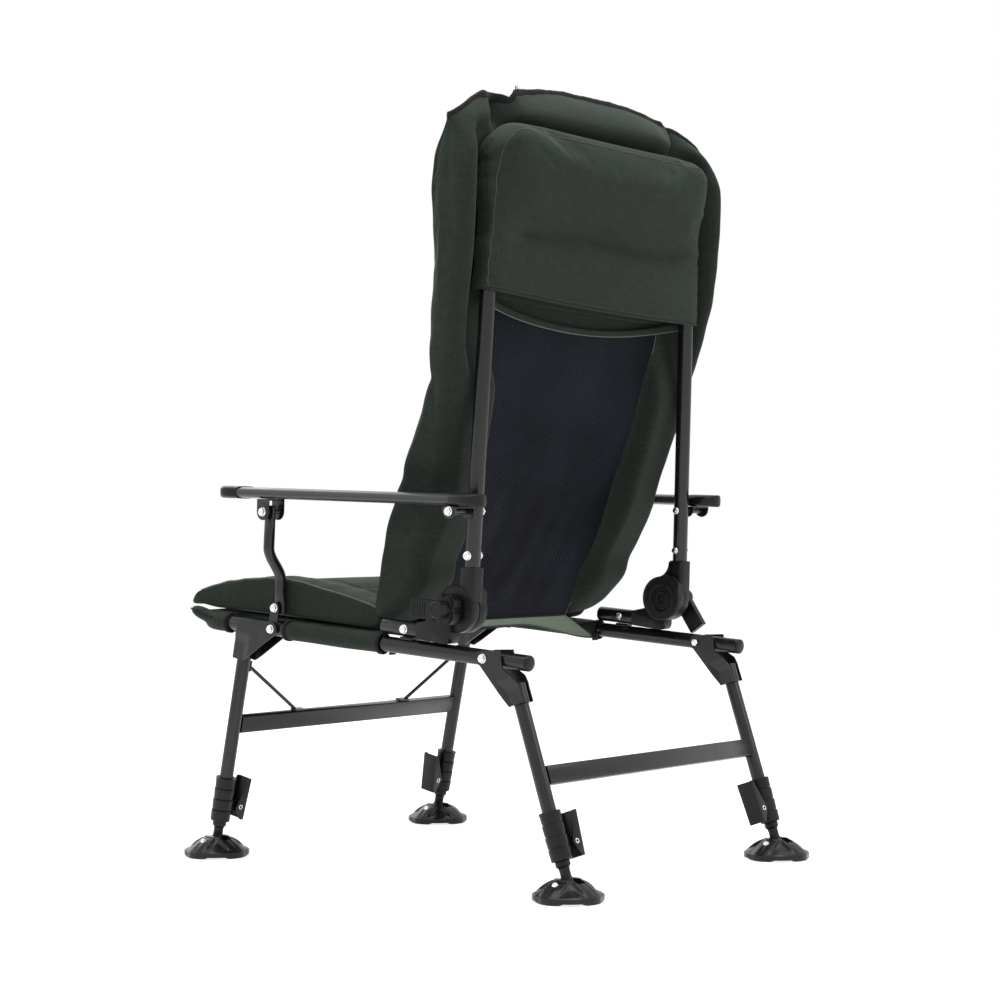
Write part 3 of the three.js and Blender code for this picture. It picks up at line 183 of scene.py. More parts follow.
@dataclass(frozen=True)
class Turned:
    """A frame at an origin, turned about X, as the groups of the part's source are."""

    origin: tuple[float, float, float]
    degrees: float = 0.0

    def world(self, points: Array) -> Array:
        """The points in the model's frame: turned about X, then moved by the origin."""
        c, s = math.cos(math.radians(self.degrees)), math.sin(math.radians(self.degrees))
        x, y, z = np.moveaxis(np.asarray(points, float), -1, 0)
        return xyz(x, y * c - z * s, y * s + z * c) + np.array(self.origin)

    def place(self, y: float, z: float) -> tuple[float, float, float]:
        """A point of the middle plane, as a tuple that another frame can start from."""
        return tuple(self.world(np.array([0.0, y, z])))


# Shells: the surfaces that pieces are made of


@dataclass
class Shell:
    """A surface as points, four-sided faces and faces with more corners, and map places where it has them."""

    points: Array
    quads: Array
    plates: list[list[int]] = field(default_factory=list)
    uv: Array | None = None

    def moved(self, turned: Turned) -> Shell:
        """The same surface placed by a turned frame."""
        return Shell(turned.world(self.points), self.quads, self.plates, self.uv)

    def mirrored(self) -> Shell:
        """The same surface on the other side of the chair, with its corners in the opposite order."""
        return Shell(self.points * MIRROR, self.quads[:, ::-1], [p[::-1] for p in self.plates], self.uv)

    def shifted(self, x: float, y: float, z: float) -> Shell:
        """The same surface moved by three distances."""
        return Shell(self.points + np.array([x, y, z]), self.quads, self.plates, self.uv)


def grid(points: Array, uv: Array | None = None) -> Shell:
    """A sheet of four-sided faces over a grid of rows and columns of points."""
    rows, columns = points.shape[:2]
    index = np.arange(rows * columns).reshape(rows, columns)
    quads = np.stack([index[:-1, :-1], index[:-1, 1:], index[1:, 1:], index[1:, :-1]], axis=-1).reshape(-1, 4)
    return Shell(points.reshape(-1, 3), quads, [], None if uv is None else uv.reshape(-1, 2))


class End(Enum):
    """How a tube ends."""

    CLOSED = "a flat end with a rounded edge"
    OPEN = "an open end that shows the wall and the bore"


def sweep(
    path: Array,
    radius: float | Array,
    side: tuple[float, float, float],
    sides: int = 28,
    start: End = End.CLOSED,
    end: End = End.CLOSED,
    rim: float = 0.7,
    wall: float = 1.5,
) -> Shell:
    """A round or oval bar carried along a path that lies in one plane.

    A ring's points are centre + a cos(t) N + b sin(t) S, where S is the plane's normal and N is square to it
    and to the path. At an end the ring draws in along a quarter circle of the rim's size.

    Args:
        path: Stations in order.
        radius: One radius, or a pair for each station: in the plane and square to it.
        side: The plane's normal.
        sides: Points round a ring.
        start: How the bar starts.
        end: How the bar ends.
        rim: Rounding of the end's edge.
        wall: Thickness that an open end shows.

    Returns:
        The closed surface.
    """
    path = np.asarray(path, float)
    steps = unit(np.diff(path, axis=0))
    tangents = unit(np.vstack([steps[:1], steps[:-1] + steps[1:], steps[-1:]]))
    radii = np.asarray(radius, float)
    radii = np.broadcast_to(radii if radii.ndim == 2 else radii.reshape(-1, 1), (len(path), 2))
    turns = np.radians([0, 35, 65, 90])

    def closing(station: int, outward: float, kind: End) -> tuple[Array, Array, Array]:
        """Centres, tangents and radii of the rings that finish one end, from the body outwards."""
        offsets = rim * (np.sin(turns) - 1)
        growth = -rim * (1 - np.cos(turns))
        both = radii[station] + growth[:, None]
        if kind is End.OPEN:
            offsets = np.append(offsets, [0.0, -rim, -14.0, -14.0])
            bore = radii[station] - wall
            both = np.vstack([both, bore + 0.3 * rim, bore, bore, bore * 0.0])
        else:
            offsets = np.append(offsets, 0.0)
            both = np.vstack([both, radii[station] * 0.0])
        centres = path[station] + offsets[:, None] * outward * tangents[station]
        return centres, np.broadcast_to(tangents[station], centres.shape), both

    first, last = closing(0, -1.0, start), closing(len(path) - 1, 1.0, end)
    centres = np.vstack([first[0][::-1], path[1:-1], last[0]])
    directions = np.vstack([first[1][::-1], tangents[1:-1], last[1]])
    spans = np.vstack([first[2][::-1], radii[1:-1], last[2]])
    normal = unit(np.cross(np.array(side, float), directions))
    turn = full_turn(sides)
    rings = (
        centres[:, None]
        + (spans[:, :1] * np.cos(turn))[..., None] * normal[:, None]
        + (spans[:, 1:] * np.sin(turn))[..., None] * np.array(side, float)
    )
    return grid(rings)


def cord_line(path: Array, radius: float | Array, sides: int = 8) -> Shell:
    """A thin round cord along any path, with rings square to it and its ends drawn to a point.

    A ring's points are centre + r (cos(t) N + sin(t) B), where N is square to the path and nearest to level.
    """
    path = np.asarray(path, float)
    tangents = unit(np.gradient(path, axis=0))
    up = np.where(np.abs(tangents[:, 2:]) < 0.9, np.array([[0.0, 0.0, 1.0]]), np.array([[0.0, 1.0, 0.0]]))
    normal = unit(np.cross(up, tangents))
    other = np.cross(tangents, normal)
    radii = np.broadcast_to(np.asarray(radius, float), (len(path),)).copy()
    centres = np.vstack([path[:1], path, path[-1:]])
    normal, other = (np.vstack([v[:1], v, v[-1:]]) for v in (normal, other))
    radii = np.concatenate([[0.0], radii, [0.0]])
    turn = full_turn(sides)
    rings = centres[:, None] + radii[:, None, None] * (
        np.cos(turn)[None, :, None] * normal[:, None] + np.sin(turn)[None, :, None] * other[:, None]
    )
    return grid(rings)


def lathe(
    profile: list[tuple[float, float]], axis: str = "x", sides: int = 36, shape: Array | None = None
) -> Shell:
    """A turned body: a ring for each distance along the axis, which may follow an outline and not a circle.

    Args:
        profile: Pairs of radius and distance along the axis.
        axis: The axis of turning, x or z.
        sides: Points round a ring.
        shape: Largest radius for each of the sides + 1 points, for a body that isn't round.

    Returns:
        The surface, closed where the profile starts and ends at radius 0.
    """
    radii, along = np.array(profile, float).T
    turn = full_turn(sides)
    reach = np.broadcast_to(radii[:, None], (len(radii), sides + 1))
    if shape is not None:
        reach = np.minimum(reach, shape[None, :])
    a, b = reach * np.cos(turn), reach * np.sin(turn)
    along = np.broadcast_to(along[:, None], a.shape)
    return grid(xyz(along, a, b) if axis == "x" else xyz(a, b, along))


def plate(outline: Array, low: float, thickness: float) -> Shell:
    """A flat plate: an outline in (y, z), made thick along +X from the low side."""
    outline = np.asarray(outline, float)
    count = len(outline)
    near = np.column_stack([np.full(count, low), outline])
    far = near + np.array([thickness, 0.0, 0.0])
    index = np.arange(count)
    following = np.roll(index, -1)
    quads = np.stack([index, following, following + count, index + count], axis=-1)
    return Shell(np.vstack([near, far]), quads, [index[::-1].tolist(), (index + count).tolist()])


def block(low: tuple[float, float, float], high: tuple[float, float, float]) -> Shell:
    """A plain block between two corners, for a bevel to round."""
    (x0, y0, z0), (x1, y1, z1) = low, high
    return plate(np.array([[y0, z0], [y1, z0], [y1, z1], [y0, z1]]), x0, x1 - x0)


def slab(near: Array, far: Array) -> Shell:
    """A closed plate between two grids of points of one shape, with its edges joined."""
    rings = np.concatenate([near, far[:, ::-1], near[:, :1]], axis=1)
    lids = np.concatenate([near, near[:, ::-1], near[:, :1]], axis=1)
    return grid(np.concatenate([lids[:1], rings, lids[-1:]]))


def squircle(power: float, sides: int) -> tuple[Array, Array]:
    """A rounded square of half width 1: cos and sin raised to two over the power, with their signs."""
    c, s = np.cos(full_turn(sides)), np.sin(full_turn(sides))
    return np.sign(c) * np.abs(c) ** (2 / power), np.sign(s) * np.abs(s) ** (2 / power)


def column(centres: Array, halves: Array, power: float = 2.0, sides: int = 48) -> Shell:
    """A level column with rounded-square sections.

    Args:
        centres: The middle of each section, from the foot up.
        halves: Half of each section's width.
        power: 2 for a circle, and more for squarer sections.
        sides: Points round a section.

    Returns:
        The closed surface.
    """
    across, along = squircle(power, sides)
    halves = np.concatenate([[0.0], halves, [0.0]])[:, None]
    x, y, z = np.vstack([centres[:1], centres, centres[-1:]]).T[..., None]
    return grid(xyz(x + halves * across, y + halves * along, z))


def ring(radius: float, thick: float, sides: int = 64, section_sides: int = 12) -> tuple[Array, Array, Array]:
    """A raised ring: a circle of the thickness carried round a circle of the radius.

    Args:
        radius: From the ring's middle to the middle of its section.
        thick: The section's radius.
        sides: Points round the ring.
        section_sides: Points round its section.

    Returns:
        The heights above the ring's plane, and two coordinates in the plane.
    """
    turn, section = full_turn(sides)[:, None], full_turn(section_sides)[None, :]
    reach = radius + thick * np.cos(section)
    return thick * np.sin(section), reach * np.cos(turn), reach * np.sin(turn)


def arc(centre: tuple[float, float], radius: float, start: float, end: float, steps: int) -> Array:
    """Points of an arc in a plane, with its angles in degrees."""
    turn = np.radians(np.linspace(start, end, steps + 1))
    return np.column_stack([centre[0] + radius * np.cos(turn), centre[1] + radius * np.sin(turn)])


def bend(start: Array, ahead: Array, towards: Array, radius: float, steps: int = 12) -> Array:
    """An arc from a tangent point on, up to the turn: start + r sin(t) ahead + r (1 - cos(t)) sideways."""
    ahead, towards = unit(np.asarray(ahead, float)), unit(np.asarray(towards, float))
    angle = math.acos(float(np.clip(ahead @ towards, -1, 1)))
    sideways = unit(towards - (towards @ ahead) * ahead)
    part = np.linspace(0, angle, steps + 1)[:, None]
    return np.asarray(start, float) + radius * (np.sin(part) * ahead + (1 - np.cos(part)) * sideways)


def mesh_of(name: str, shells: list[Shell], weld: float = 0.002) -> tuple[bpy.types.Mesh, Array]:
    """One mesh from shells, with points that coincide made one and faces that collapse left out.

    Args:
        name: The mesh's name.
        shells: The surfaces.
        weld: Distance in millimetres within which points are one.

    Returns:
        The mesh in metres, and for each of its vertices the index of its point among all the shells' points.
    """
    points = np.vstack([s.points for s in shells])
    starts = np.cumsum([0] + [len(s.points) for s in shells[:-1]])
    cells = np.round(points / weld).astype(np.int64)
    _, first, place = np.unique(cells, axis=0, return_index=True, return_inverse=True)
    place = place.reshape(-1)
    corners = np.vstack([s.quads + at for s, at in zip(shells, starts)]).astype(int)
    joined = place[corners]
    keep = joined != np.roll(joined, -1, axis=1)
    whole = keep.all(axis=1)
    faces, sources = joined[whole].tolist(), [corners[whole].reshape(-1)]
    for row, source, mask in zip(joined[~whole], corners[~whole], keep[~whole]):
        if mask.sum() == 3:
            faces.append(row[mask].tolist())
            sources.append(source[mask])
    for s, at in zip(shells, starts):
        for corners_of in s.plates:
            faces.append(place[np.array(corners_of) + at].tolist())
            sources.append(np.array(corners_of) + at)
    mesh = bpy.data.meshes.new(name)
    mesh.from_pydata((points[first] * METRES).tolist(), [], faces)
    if all(s.uv is not None for s in shells):
        uv = np.vstack([s.uv for s in shells])[np.concatenate(sources)] * METRES
        mesh.uv_layers.new(name="cloth").uv.foreach_set("vector", uv.astype(np.float32).reshape(-1))
    work = bmesh.new()
    work.from_mesh(mesh)
    bmesh.ops.recalc_face_normals(work, faces=work.faces)
    work.to_mesh(mesh)
    work.free()
    shade_smooth(mesh)
    return mesh, first


# Finishes


class Shader:
    """A node material with one Principled shader, and short calls that add nodes to it."""

    def __init__(self, name: str) -> None:
        """Starts the material.

        Args:
            name: Its name.
        """
        self.material = bpy.data.materials.new(name)
        self.material.use_nodes = True
        self.tree = self.material.node_tree
        self.tree.nodes.clear()
        self.surface = self.node("ShaderNodeBsdfPrincipled")
        self.output = self.node("ShaderNodeOutputMaterial")
        self.join(self.surface.outputs["BSDF"], self.output.inputs["Surface"])
        self.places = self.node("ShaderNodeTexCoord")

    def node(self, kind: str, **settings: object) -> bpy.types.Node:
        """A new node with its settings."""
        made = self.tree.nodes.new(kind)
        for key, value in settings.items():
            setattr(made, key, value)
        return made

    def join(self, source: bpy.types.NodeSocket, target: bpy.types.NodeSocket) -> None:
        """Links two sockets."""
        self.tree.links.new(source, target)

    def feed(self, target: bpy.types.NodeSocket, value: object) -> None:
        """Links a socket or sets a value, whichever is given."""
        if isinstance(value, bpy.types.NodeSocket):
            self.join(value, target)
        else:
            target.default_value = value

    def sum(self, operation: str, *values: object) -> bpy.types.NodeSocket:
        """The result of a Math node."""
        made = self.node("ShaderNodeMath", operation=operation)
        for target, value in zip(made.inputs, values):
            self.feed(target, value)
        return made.outputs[0]

    def noise(self, scale: float, detail: float = 3.0, place: object = None) -> bpy.types.NodeSocket:
        """Noise from 0 to 1 on the piece's own coordinates."""
        made = self.node("ShaderNodeTexNoise")
        self.join(place or self.places.outputs["Object"], made.inputs["Vector"])
        made.inputs["Scale"].default_value = scale
        made.inputs["Detail"].default_value = detail
        return made.outputs["Fac"]

    def stretched(self, scale: tuple[float, float, float]) -> bpy.types.NodeSocket:
        """The piece's own coordinates, with each axis multiplied by its own number."""
        made = self.node("ShaderNodeVectorMath", operation="MULTIPLY")
        self.join(self.places.outputs["Object"], made.inputs[0])
        made.inputs[1].default_value = scale
        return made.outputs[0]

    def give(self, values: dict[str, object]) -> None:
        """Feeds inputs of the surface by name, each with a socket or a value."""
        for name, value in values.items():
            self.feed(self.surface.inputs[name], value)

    def spread(
        self, value: bpy.types.NodeSocket, low: float, high: float, to: tuple[float, float] = (0.0, 1.0)
    ) -> bpy.types.NodeSocket:
        """A value carried from one range to another, and held at its ends."""
        made = self.node("ShaderNodeMapRange")
        for key, given in zip(("Value", "From Min", "From Max", "To Min", "To Max"), (value, low, high, *to)):
            self.feed(made.inputs[key], given)
        return made.outputs["Result"]

    def blend(self, part: bpy.types.NodeSocket, first: tuple, second: tuple) -> bpy.types.NodeSocket:
        """A colour between two colours."""
        made = self.node("ShaderNodeMix", data_type="RGBA")
        self.join(part, made.inputs[0])
        for target, value in zip((made.inputs[6], made.inputs[7]), (first, second)):
            self.feed(target, (*value, 1.0) if isinstance(value, tuple) else value)
        return made.outputs[2]

    def bump(self, height: bpy.types.NodeSocket, distance: float, strength: float = 1.0) -> None:
        """Adds a height in metres to the surface, on top of any bump that it already has."""
        made = self.node("ShaderNodeBump")
        made.inputs["Strength"].default_value = strength
        made.inputs["Distance"].default_value = distance
        self.join(height, made.inputs["Height"])
        normal = self.surface.inputs["Normal"]
        if normal.is_linked:
            self.join(normal.links[0].from_socket, made.inputs["Normal"])
        self.join(made.outputs["Normal"], normal)

    def waves(self, pitch: float, place: str = "Object") -> bpy.types.NodeSocket:
        """Crossing threads: the sum of the sines of each coordinate at one pitch in metres."""
        scaled = self.node("ShaderNodeVectorMath", operation="SCALE")
        self.join(self.places.outputs[place], scaled.inputs[0])
        scaled.inputs["Scale"].default_value = 2 * math.pi / pitch
        sine = self.node("ShaderNodeVectorMath", operation="SINE")
        self.join(scaled.outputs[0], sine.inputs[0])
        total = self.node("ShaderNodeVectorMath", operation="DOT_PRODUCT")
        self.join(sine.outputs[0], total.inputs[0])
        total.inputs[1].default_value = (0.5, 0.5, 0.5)
        return total.outputs["Value"]


@dataclass(frozen=True)
class Finish:
    """A finish: its name, its slot and its colour, in linear light."""

    name: str
    slot: str
    colour: tuple[float, float, float]
    roughness: float = 0.5

    def build(self, shader: Shader) -> None:
        """Sets what all finishes share."""
        shader.give({"Base Color": (*self.colour, 1.0), "Roughness": self.roughness})

    def material(self) -> bpy.types.Material:
        """The finish's material, made once."""
        found = bpy.data.materials.get(self.name)
        if found is None:
            shader = Shader(self.name)
            self.build(shader)
            found = shader.material
        return found


@dataclass(frozen=True)
class PowderCoat(Finish):
    """Satin powder coat on steel tube: fine orange peel, uneven sheen and a few rubbed places."""

    peel: float = 900.0
    rubbed: tuple[float, float, float] = (0.04, 0.041, 0.043)

    def build(self, shader: Shader) -> None:
        """Adds the coat's grain, its uneven sheen and its rubs."""
        super().build(shader)
        rubs = shader.spread(shader.noise(38, 5), 0.6, 0.75, (0.0, 0.55))
        gloss = (self.roughness - 0.05, self.roughness + 0.08)
        shader.give({
            "Base Color": shader.blend(rubs, self.colour, self.rubbed),
            "Roughness": shader.spread(shader.noise(14, 4), 0.3, 0.7, gloss),
            "Specular IOR Level": 0.45,
        })
        shader.bump(shader.noise(self.peel, 2), 0.00008, 0.5)


@dataclass(frozen=True)
class Moulded(Finish):
    """Moulded black plastic: spark grain, faint flow marks and dusty patches."""

    grain: float = 1500.0
    dusty: tuple[float, float, float] = (0.022, 0.0225, 0.0235)

    def build(self, shader: Shader) -> None:
        """Adds the grain, the dust and the flow marks."""
        super().build(shader)
        dust = shader.spread(shader.noise(26, 5), 0.45, 0.75, (0.0, 0.6))
        gloss = (self.roughness - 0.07, self.roughness + 0.07)
        shader.give({
            "Base Color": shader.blend(dust, self.colour, self.dusty),
            "Roughness": shader.spread(shader.noise(70, 4), 0.35, 0.65, gloss),
            "Specular IOR Level": 0.26,
        })
        shader.bump(shader.noise(self.grain, 2), 0.0001, 0.5)


@dataclass(frozen=True)
class Plated(Finish):
    """Bright plated steel with fine turning marks and a breath of haze."""

    def build(self, shader: Shader) -> None:
        """Adds the metal, its haze and its marks."""
        super().build(shader)
        haze = shader.spread(shader.noise(240, 3), 0.3, 0.7, (self.roughness * 0.6, self.roughness * 1.5))
        shader.give({"Metallic": 1.0, "Roughness": haze})
        shader.bump(shader.noise(700, 2), 0.00004, 0.3)


@dataclass(frozen=True)
class Woven(Finish):
    """Woven polyester over padding: threads, uneven dye, a soft sheen and shallow puckers."""

    worn: tuple[float, float, float] = (0.034, 0.044, 0.034)
    thread: float = 0.0011
    sheen: float = 0.16
    sheen_colour: tuple[float, float, float] = (0.72, 0.9, 0.76)
    pucker: float = 0.0016
    slub: tuple[tuple[float, float, float], ...] = ((640.0, 640.0, 45.0), (50.0, 50.0, 640.0))

    def build(self, shader: Shader) -> None:
        """Adds the dye, the threads, the sheen and the puckers."""
        super().build(shader)
        dye = shader.noise(7, 6)
        threads = shader.waves(self.thread)
        slubs = shader.sum("ADD", *(shader.noise(1.0, 1, shader.stretched(scale)) for scale in self.slub))
        tone = shader.sum("MULTIPLY_ADD", slubs, 0.62, shader.sum("MULTIPLY", dye, 0.6))
        tone = shader.sum("MULTIPLY_ADD", threads, 0.1, tone)
        part = shader.spread(tone, 0.62, 1.2)
        shader.give({
            "Base Color": shader.blend(part, self.colour, self.worn),
            "Sheen Weight": self.sheen,
            "Sheen Roughness": 0.45,
            "Sheen Tint": (*self.sheen_colour, 1.0),
            "Specular IOR Level": 0.25,
        })
        shader.bump(shader.noise(19, 3), self.pucker, 0.55)
        shader.bump(slubs, 0.0003, 0.5)
        shader.bump(threads, 0.00012, 0.45)


@dataclass(frozen=True)
class OpenMesh(Finish):
    """Warp-knitted mesh: staggered holes between ribs of yarn, read from the panel's own map."""

    yarn: tuple[float, float, float] = (0.038, 0.042, 0.058)
    pitch: tuple[float, float] = (0.0068, 0.0056)

    def build(self, shader: Shader) -> None:
        """Adds the yarn and the holes: a hole is where cos(u) cos(v) is near 1, so rows of holes stagger."""
        super().build(shader)
        parts = shader.node("ShaderNodeSeparateXYZ")
        shader.join(shader.places.outputs["UV"], parts.inputs[0])
        angles = (shader.sum("MULTIPLY", parts.outputs[i], 2 * math.pi / self.pitch[i]) for i in (0, 1))
        cells = shader.sum("MULTIPLY", *(shader.sum("COSINE", angle) for angle in angles))
        yarn = shader.spread(cells, 0.4, -0.1)
        cast = shader.spread(shader.noise(5, 4), 0.35, 0.7, (0.25, 1.0))
        shader.give({
            "Base Color": shader.blend(shader.sum("MULTIPLY", yarn, cast), self.colour, self.yarn),
            "Specular IOR Level": 0.08,
            "Sheen Weight": 0.02,
            "Sheen Tint": (0.6, 0.68, 0.95, 1.0),
        })
        shader.bump(yarn, 0.0005, 0.8)


FRAME = PowderCoat("satin_black_frame", "frame", (0.0115, 0.0117, 0.0124), 0.22)
ARM_COAT = PowderCoat("satin_grey_armrest", "armrest", (0.06, 0.061, 0.062), 0.3)
PLASTIC = Moulded("black_moulded_plastic", "plastic", (0.0095, 0.0097, 0.0105), 0.4)
FOOT = Moulded("grey_black_foot_plastic", "plastic", (0.016, 0.0165, 0.0175), 0.28)
STEEL = Plated("bright_plated_steel", "steel", (0.82, 0.83, 0.85), 0.16)
CLOTH = Woven("dark_green_cloth", "cloth", (0.0165, 0.0235, 0.0175), 0.82)
TAPE = Woven("black_binding_tape", "cloth", (0.008, 0.008, 0.009), 0.85, (0.02, 0.02, 0.022), 0.0016, 0.15,
             (0.8, 0.8, 0.8), 0.0006)
# Pale piping: on the seat cushion's upper edge its paleness is partly a painted highlight.
PIPING_AND_PAINTED_HIGHLIGHT = Woven("pale_green_piping_and_painted_highlight", "cloth", (0.15, 0.18, 0.14), 0.8, (0.23, 0.26, 0.21), 0.0009, 0.3)
# Painted light: this pale green stands for backlight through thin dark green cloth and the floor's glow under
# it.
PAINTED_BACKLIT_LINING = Woven("painted_backlit_lining", "cloth", (0.24, 0.31, 0.23), 0.8, (0.33, 0.4, 0.31), 0.0012, 0.3)
# Thread: in the seam round the hood's rear face its paleness is partly a painted highlight.
THREAD_AND_PAINTED_HIGHLIGHT = Woven("grey_green_thread_and_painted_highlight", "cloth", (0.06, 0.075, 0.06), 0.7, (0.1, 0.12, 0.1), 0.0006, 0.3)
MESH = OpenMesh("blue_black_mesh", "mesh", (0.0012, 0.0013, 0.0022), 0.7)


# Pieces


class Bevel(Enum):
    """How much of an edge a bevel takes, in millimetres."""

    NONE = 0.0
    FINE = 0.35
    SOFT = 0.8


def put(
    name: str,
    shells: list[Shell],
    finish: Finish,
    body: str | None,
    replaces: tuple[str, ...] = (),
    bevel: Bevel = Bevel.NONE,
    sharp: float | None = 40.0,
) -> bpy.types.Object:
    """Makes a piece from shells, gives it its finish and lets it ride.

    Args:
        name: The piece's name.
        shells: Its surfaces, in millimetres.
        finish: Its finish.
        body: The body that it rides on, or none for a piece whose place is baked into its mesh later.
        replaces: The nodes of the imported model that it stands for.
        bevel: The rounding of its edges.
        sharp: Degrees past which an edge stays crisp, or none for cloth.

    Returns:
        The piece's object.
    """
    piece = add_object(name, mesh_of(name, shells)[0])
    dress(piece, finish)
    if bevel is not Bevel.NONE:
        add_bevel(piece, bevel, 35.0)
    elif sharp is not None:
        piece.data.set_sharp_from_angle(angle=math.radians(sharp))
    finish_piece(piece, body, replaces)
    return piece


def add_object(name: str, data: bpy.types.ID) -> bpy.types.Object:
    """A new object in the scene."""
    made = bpy.data.objects.new(name, data)
    bpy.context.scene.collection.objects.link(made)
    return made


def add_bevel(piece: bpy.types.Object, bevel: Bevel, degrees: float) -> None:
    """Rounds the edges that turn by more than some degrees."""
    edges = piece.modifiers.new("edges", "BEVEL")
    edges.width, edges.segments = bevel.value * METRES, 2
    edges.limit_method, edges.angle_limit = "ANGLE", math.radians(degrees)
    edges.harden_normals = True


def shade_smooth(mesh: bpy.types.Mesh) -> None:
    """Shades every face of a mesh smooth."""
    mesh.polygons.foreach_set("use_smooth", np.ones(len(mesh.polygons), bool))


def finish_piece(
    piece: bpy.types.Object, body: str | None, replaces: tuple[str, ...]
) -> None:
    """Lets a finished piece ride on its body, hides the nodes that it stands for, and logs its faces."""
    if body is not None:
        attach(piece, body)
    if replaces:
        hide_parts(*replaces)
    LOG.info("%s: %d faces", piece.name, len(piece.data.polygons))


def dress(piece: bpy.types.Object, finish: Finish) -> None:
    """Gives an object one material."""
    piece.data.materials.clear()
    piece.data.materials.append(finish.material())


def keep_node(name: str, finish: Finish, bevel: Bevel = Bevel.FINE) -> None:
    """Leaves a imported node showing, with its facets joined into faces, its edges rounded and a finish."""
    node = bpy.data.objects[name]
    dress(node, finish)
    shade_smooth(node.data)
    weld = node.modifiers.new("weld", "WELD")
    weld.merge_threshold = 0.00002
    flat = node.modifiers.new("faces", "DECIMATE")
    flat.decimate_type, flat.angle_limit = "DISSOLVE", math.radians(1)
    add_bevel(node, bevel, 40.0)


def settle(piece: bpy.types.Object) -> None:
    """Applies the piece's modifiers, so that its mesh is final."""
    graph = bpy.context.evaluated_depsgraph_get()
    final = bpy.data.meshes.new_from_object(piece.evaluated_get(graph), depsgraph=graph)
    piece.modifiers.clear()
    piece.data = final


def coordinates(mesh: bpy.types.Mesh) -> Array:
    """The mesh's points, in millimetres."""
    flat = np.empty(len(mesh.vertices) * 3, np.float32)
    mesh.vertices.foreach_get("co", flat)
    return flat.reshape(-1, 3).astype(float) / METRES


def set_coordinates(mesh: bpy.types.Mesh, points: Array) -> None:
    """Writes the mesh's points, given in millimetres."""
    mesh.vertices.foreach_set("co", (points * METRES).astype(np.float32).reshape(-1))
    mesh.update()


def add_thickness(piece: bpy.types.Object, thickness: float, offset: float = -1.0) -> None:
    """Gives a sheet its thickness in millimetres."""
    modifier = piece.modifiers.new("thickness", "SOLIDIFY")
    modifier.thickness, modifier.offset = thickness * METRES, offset


def add_smoothing(piece: bpy.types.Object, levels: int = 1) -> None:
    """Adds a subdivision surface with equal levels in the view and the render."""
    modifier = piece.modifiers.new("smooth", "SUBSURF")
    modifier.levels = modifier.render_levels = levels


def swell(piece: bpy.types.Object, held: Array, cap: Array, pressure: float = 4.0) -> None:
    """Blows a cushion up as cloth under pressure, with its seams held and each point's travel capped.

    Args:
        piece: The cushion, with its final faces.
        held: True for each vertex that stays where it is.
        cap: The furthest that each vertex may move, in millimetres.
        pressure: The pressure inside.
    """
    rest = coordinates(piece.data)
    group = piece.vertex_groups.new(name="held")
    group.add(np.flatnonzero(held).tolist(), 1.0, "REPLACE")
    cloth = piece.modifiers.new("cloth", "CLOTH")
    settings = cloth.settings
    settings.quality, settings.mass = 4, 0.3
    settings.tension_stiffness = settings.compression_stiffness = 18
    settings.shear_stiffness, settings.bending_stiffness = 8, 0.6
    settings.use_pressure, settings.uniform_pressure_force = True, pressure
    settings.vertex_group_mass = "held"
    settings.effector_weights.gravity = 0
    cloth.collision_settings.use_collision = False
    scene = bpy.context.scene
    for step in range(1, SWELL_STEPS + 1):
        scene.frame_set(step)
    graph = bpy.context.evaluated_depsgraph_get()
    moved = coordinates(piece.evaluated_get(graph).data)
    travel = moved - rest
    length = np.linalg.norm(travel, axis=1, keepdims=True)
    limited = travel * np.minimum(1.0, cap[:, None] / np.maximum(length, 1e-6))
    piece.modifiers.remove(cloth)
    piece.vertex_groups.clear()
    scene.frame_set(1)
    set_coordinates(piece.data, rest + limited)
    LOG.info("%s: swelled by up to %.1f mm", piece.name, float(np.linalg.norm(limited, axis=1).max()))


def stitches(path: Array, pitch: float, length: float, radius: float) -> list[Shell]:
    """Short raised threads along a path, each from one needle hole to the next.

    Args:
        path: The seam's points, in order.
        pitch: Distance from one stitch to the next.
        length: Length of the thread that shows.
        radius: The thread's radius.

    Returns:
        One shell for each stitch.
    """
    starts = np.arange(pitch / 2, lengths(path)[-1] - length, pitch)
    points = at_lengths(path, starts[:, None] + np.linspace(0, length, 4))
    return [cord_line(row, np.array([0.5, 1.0, 1.0, 0.5]) * radius, sides=5) for row in points]


# The chair's own plan


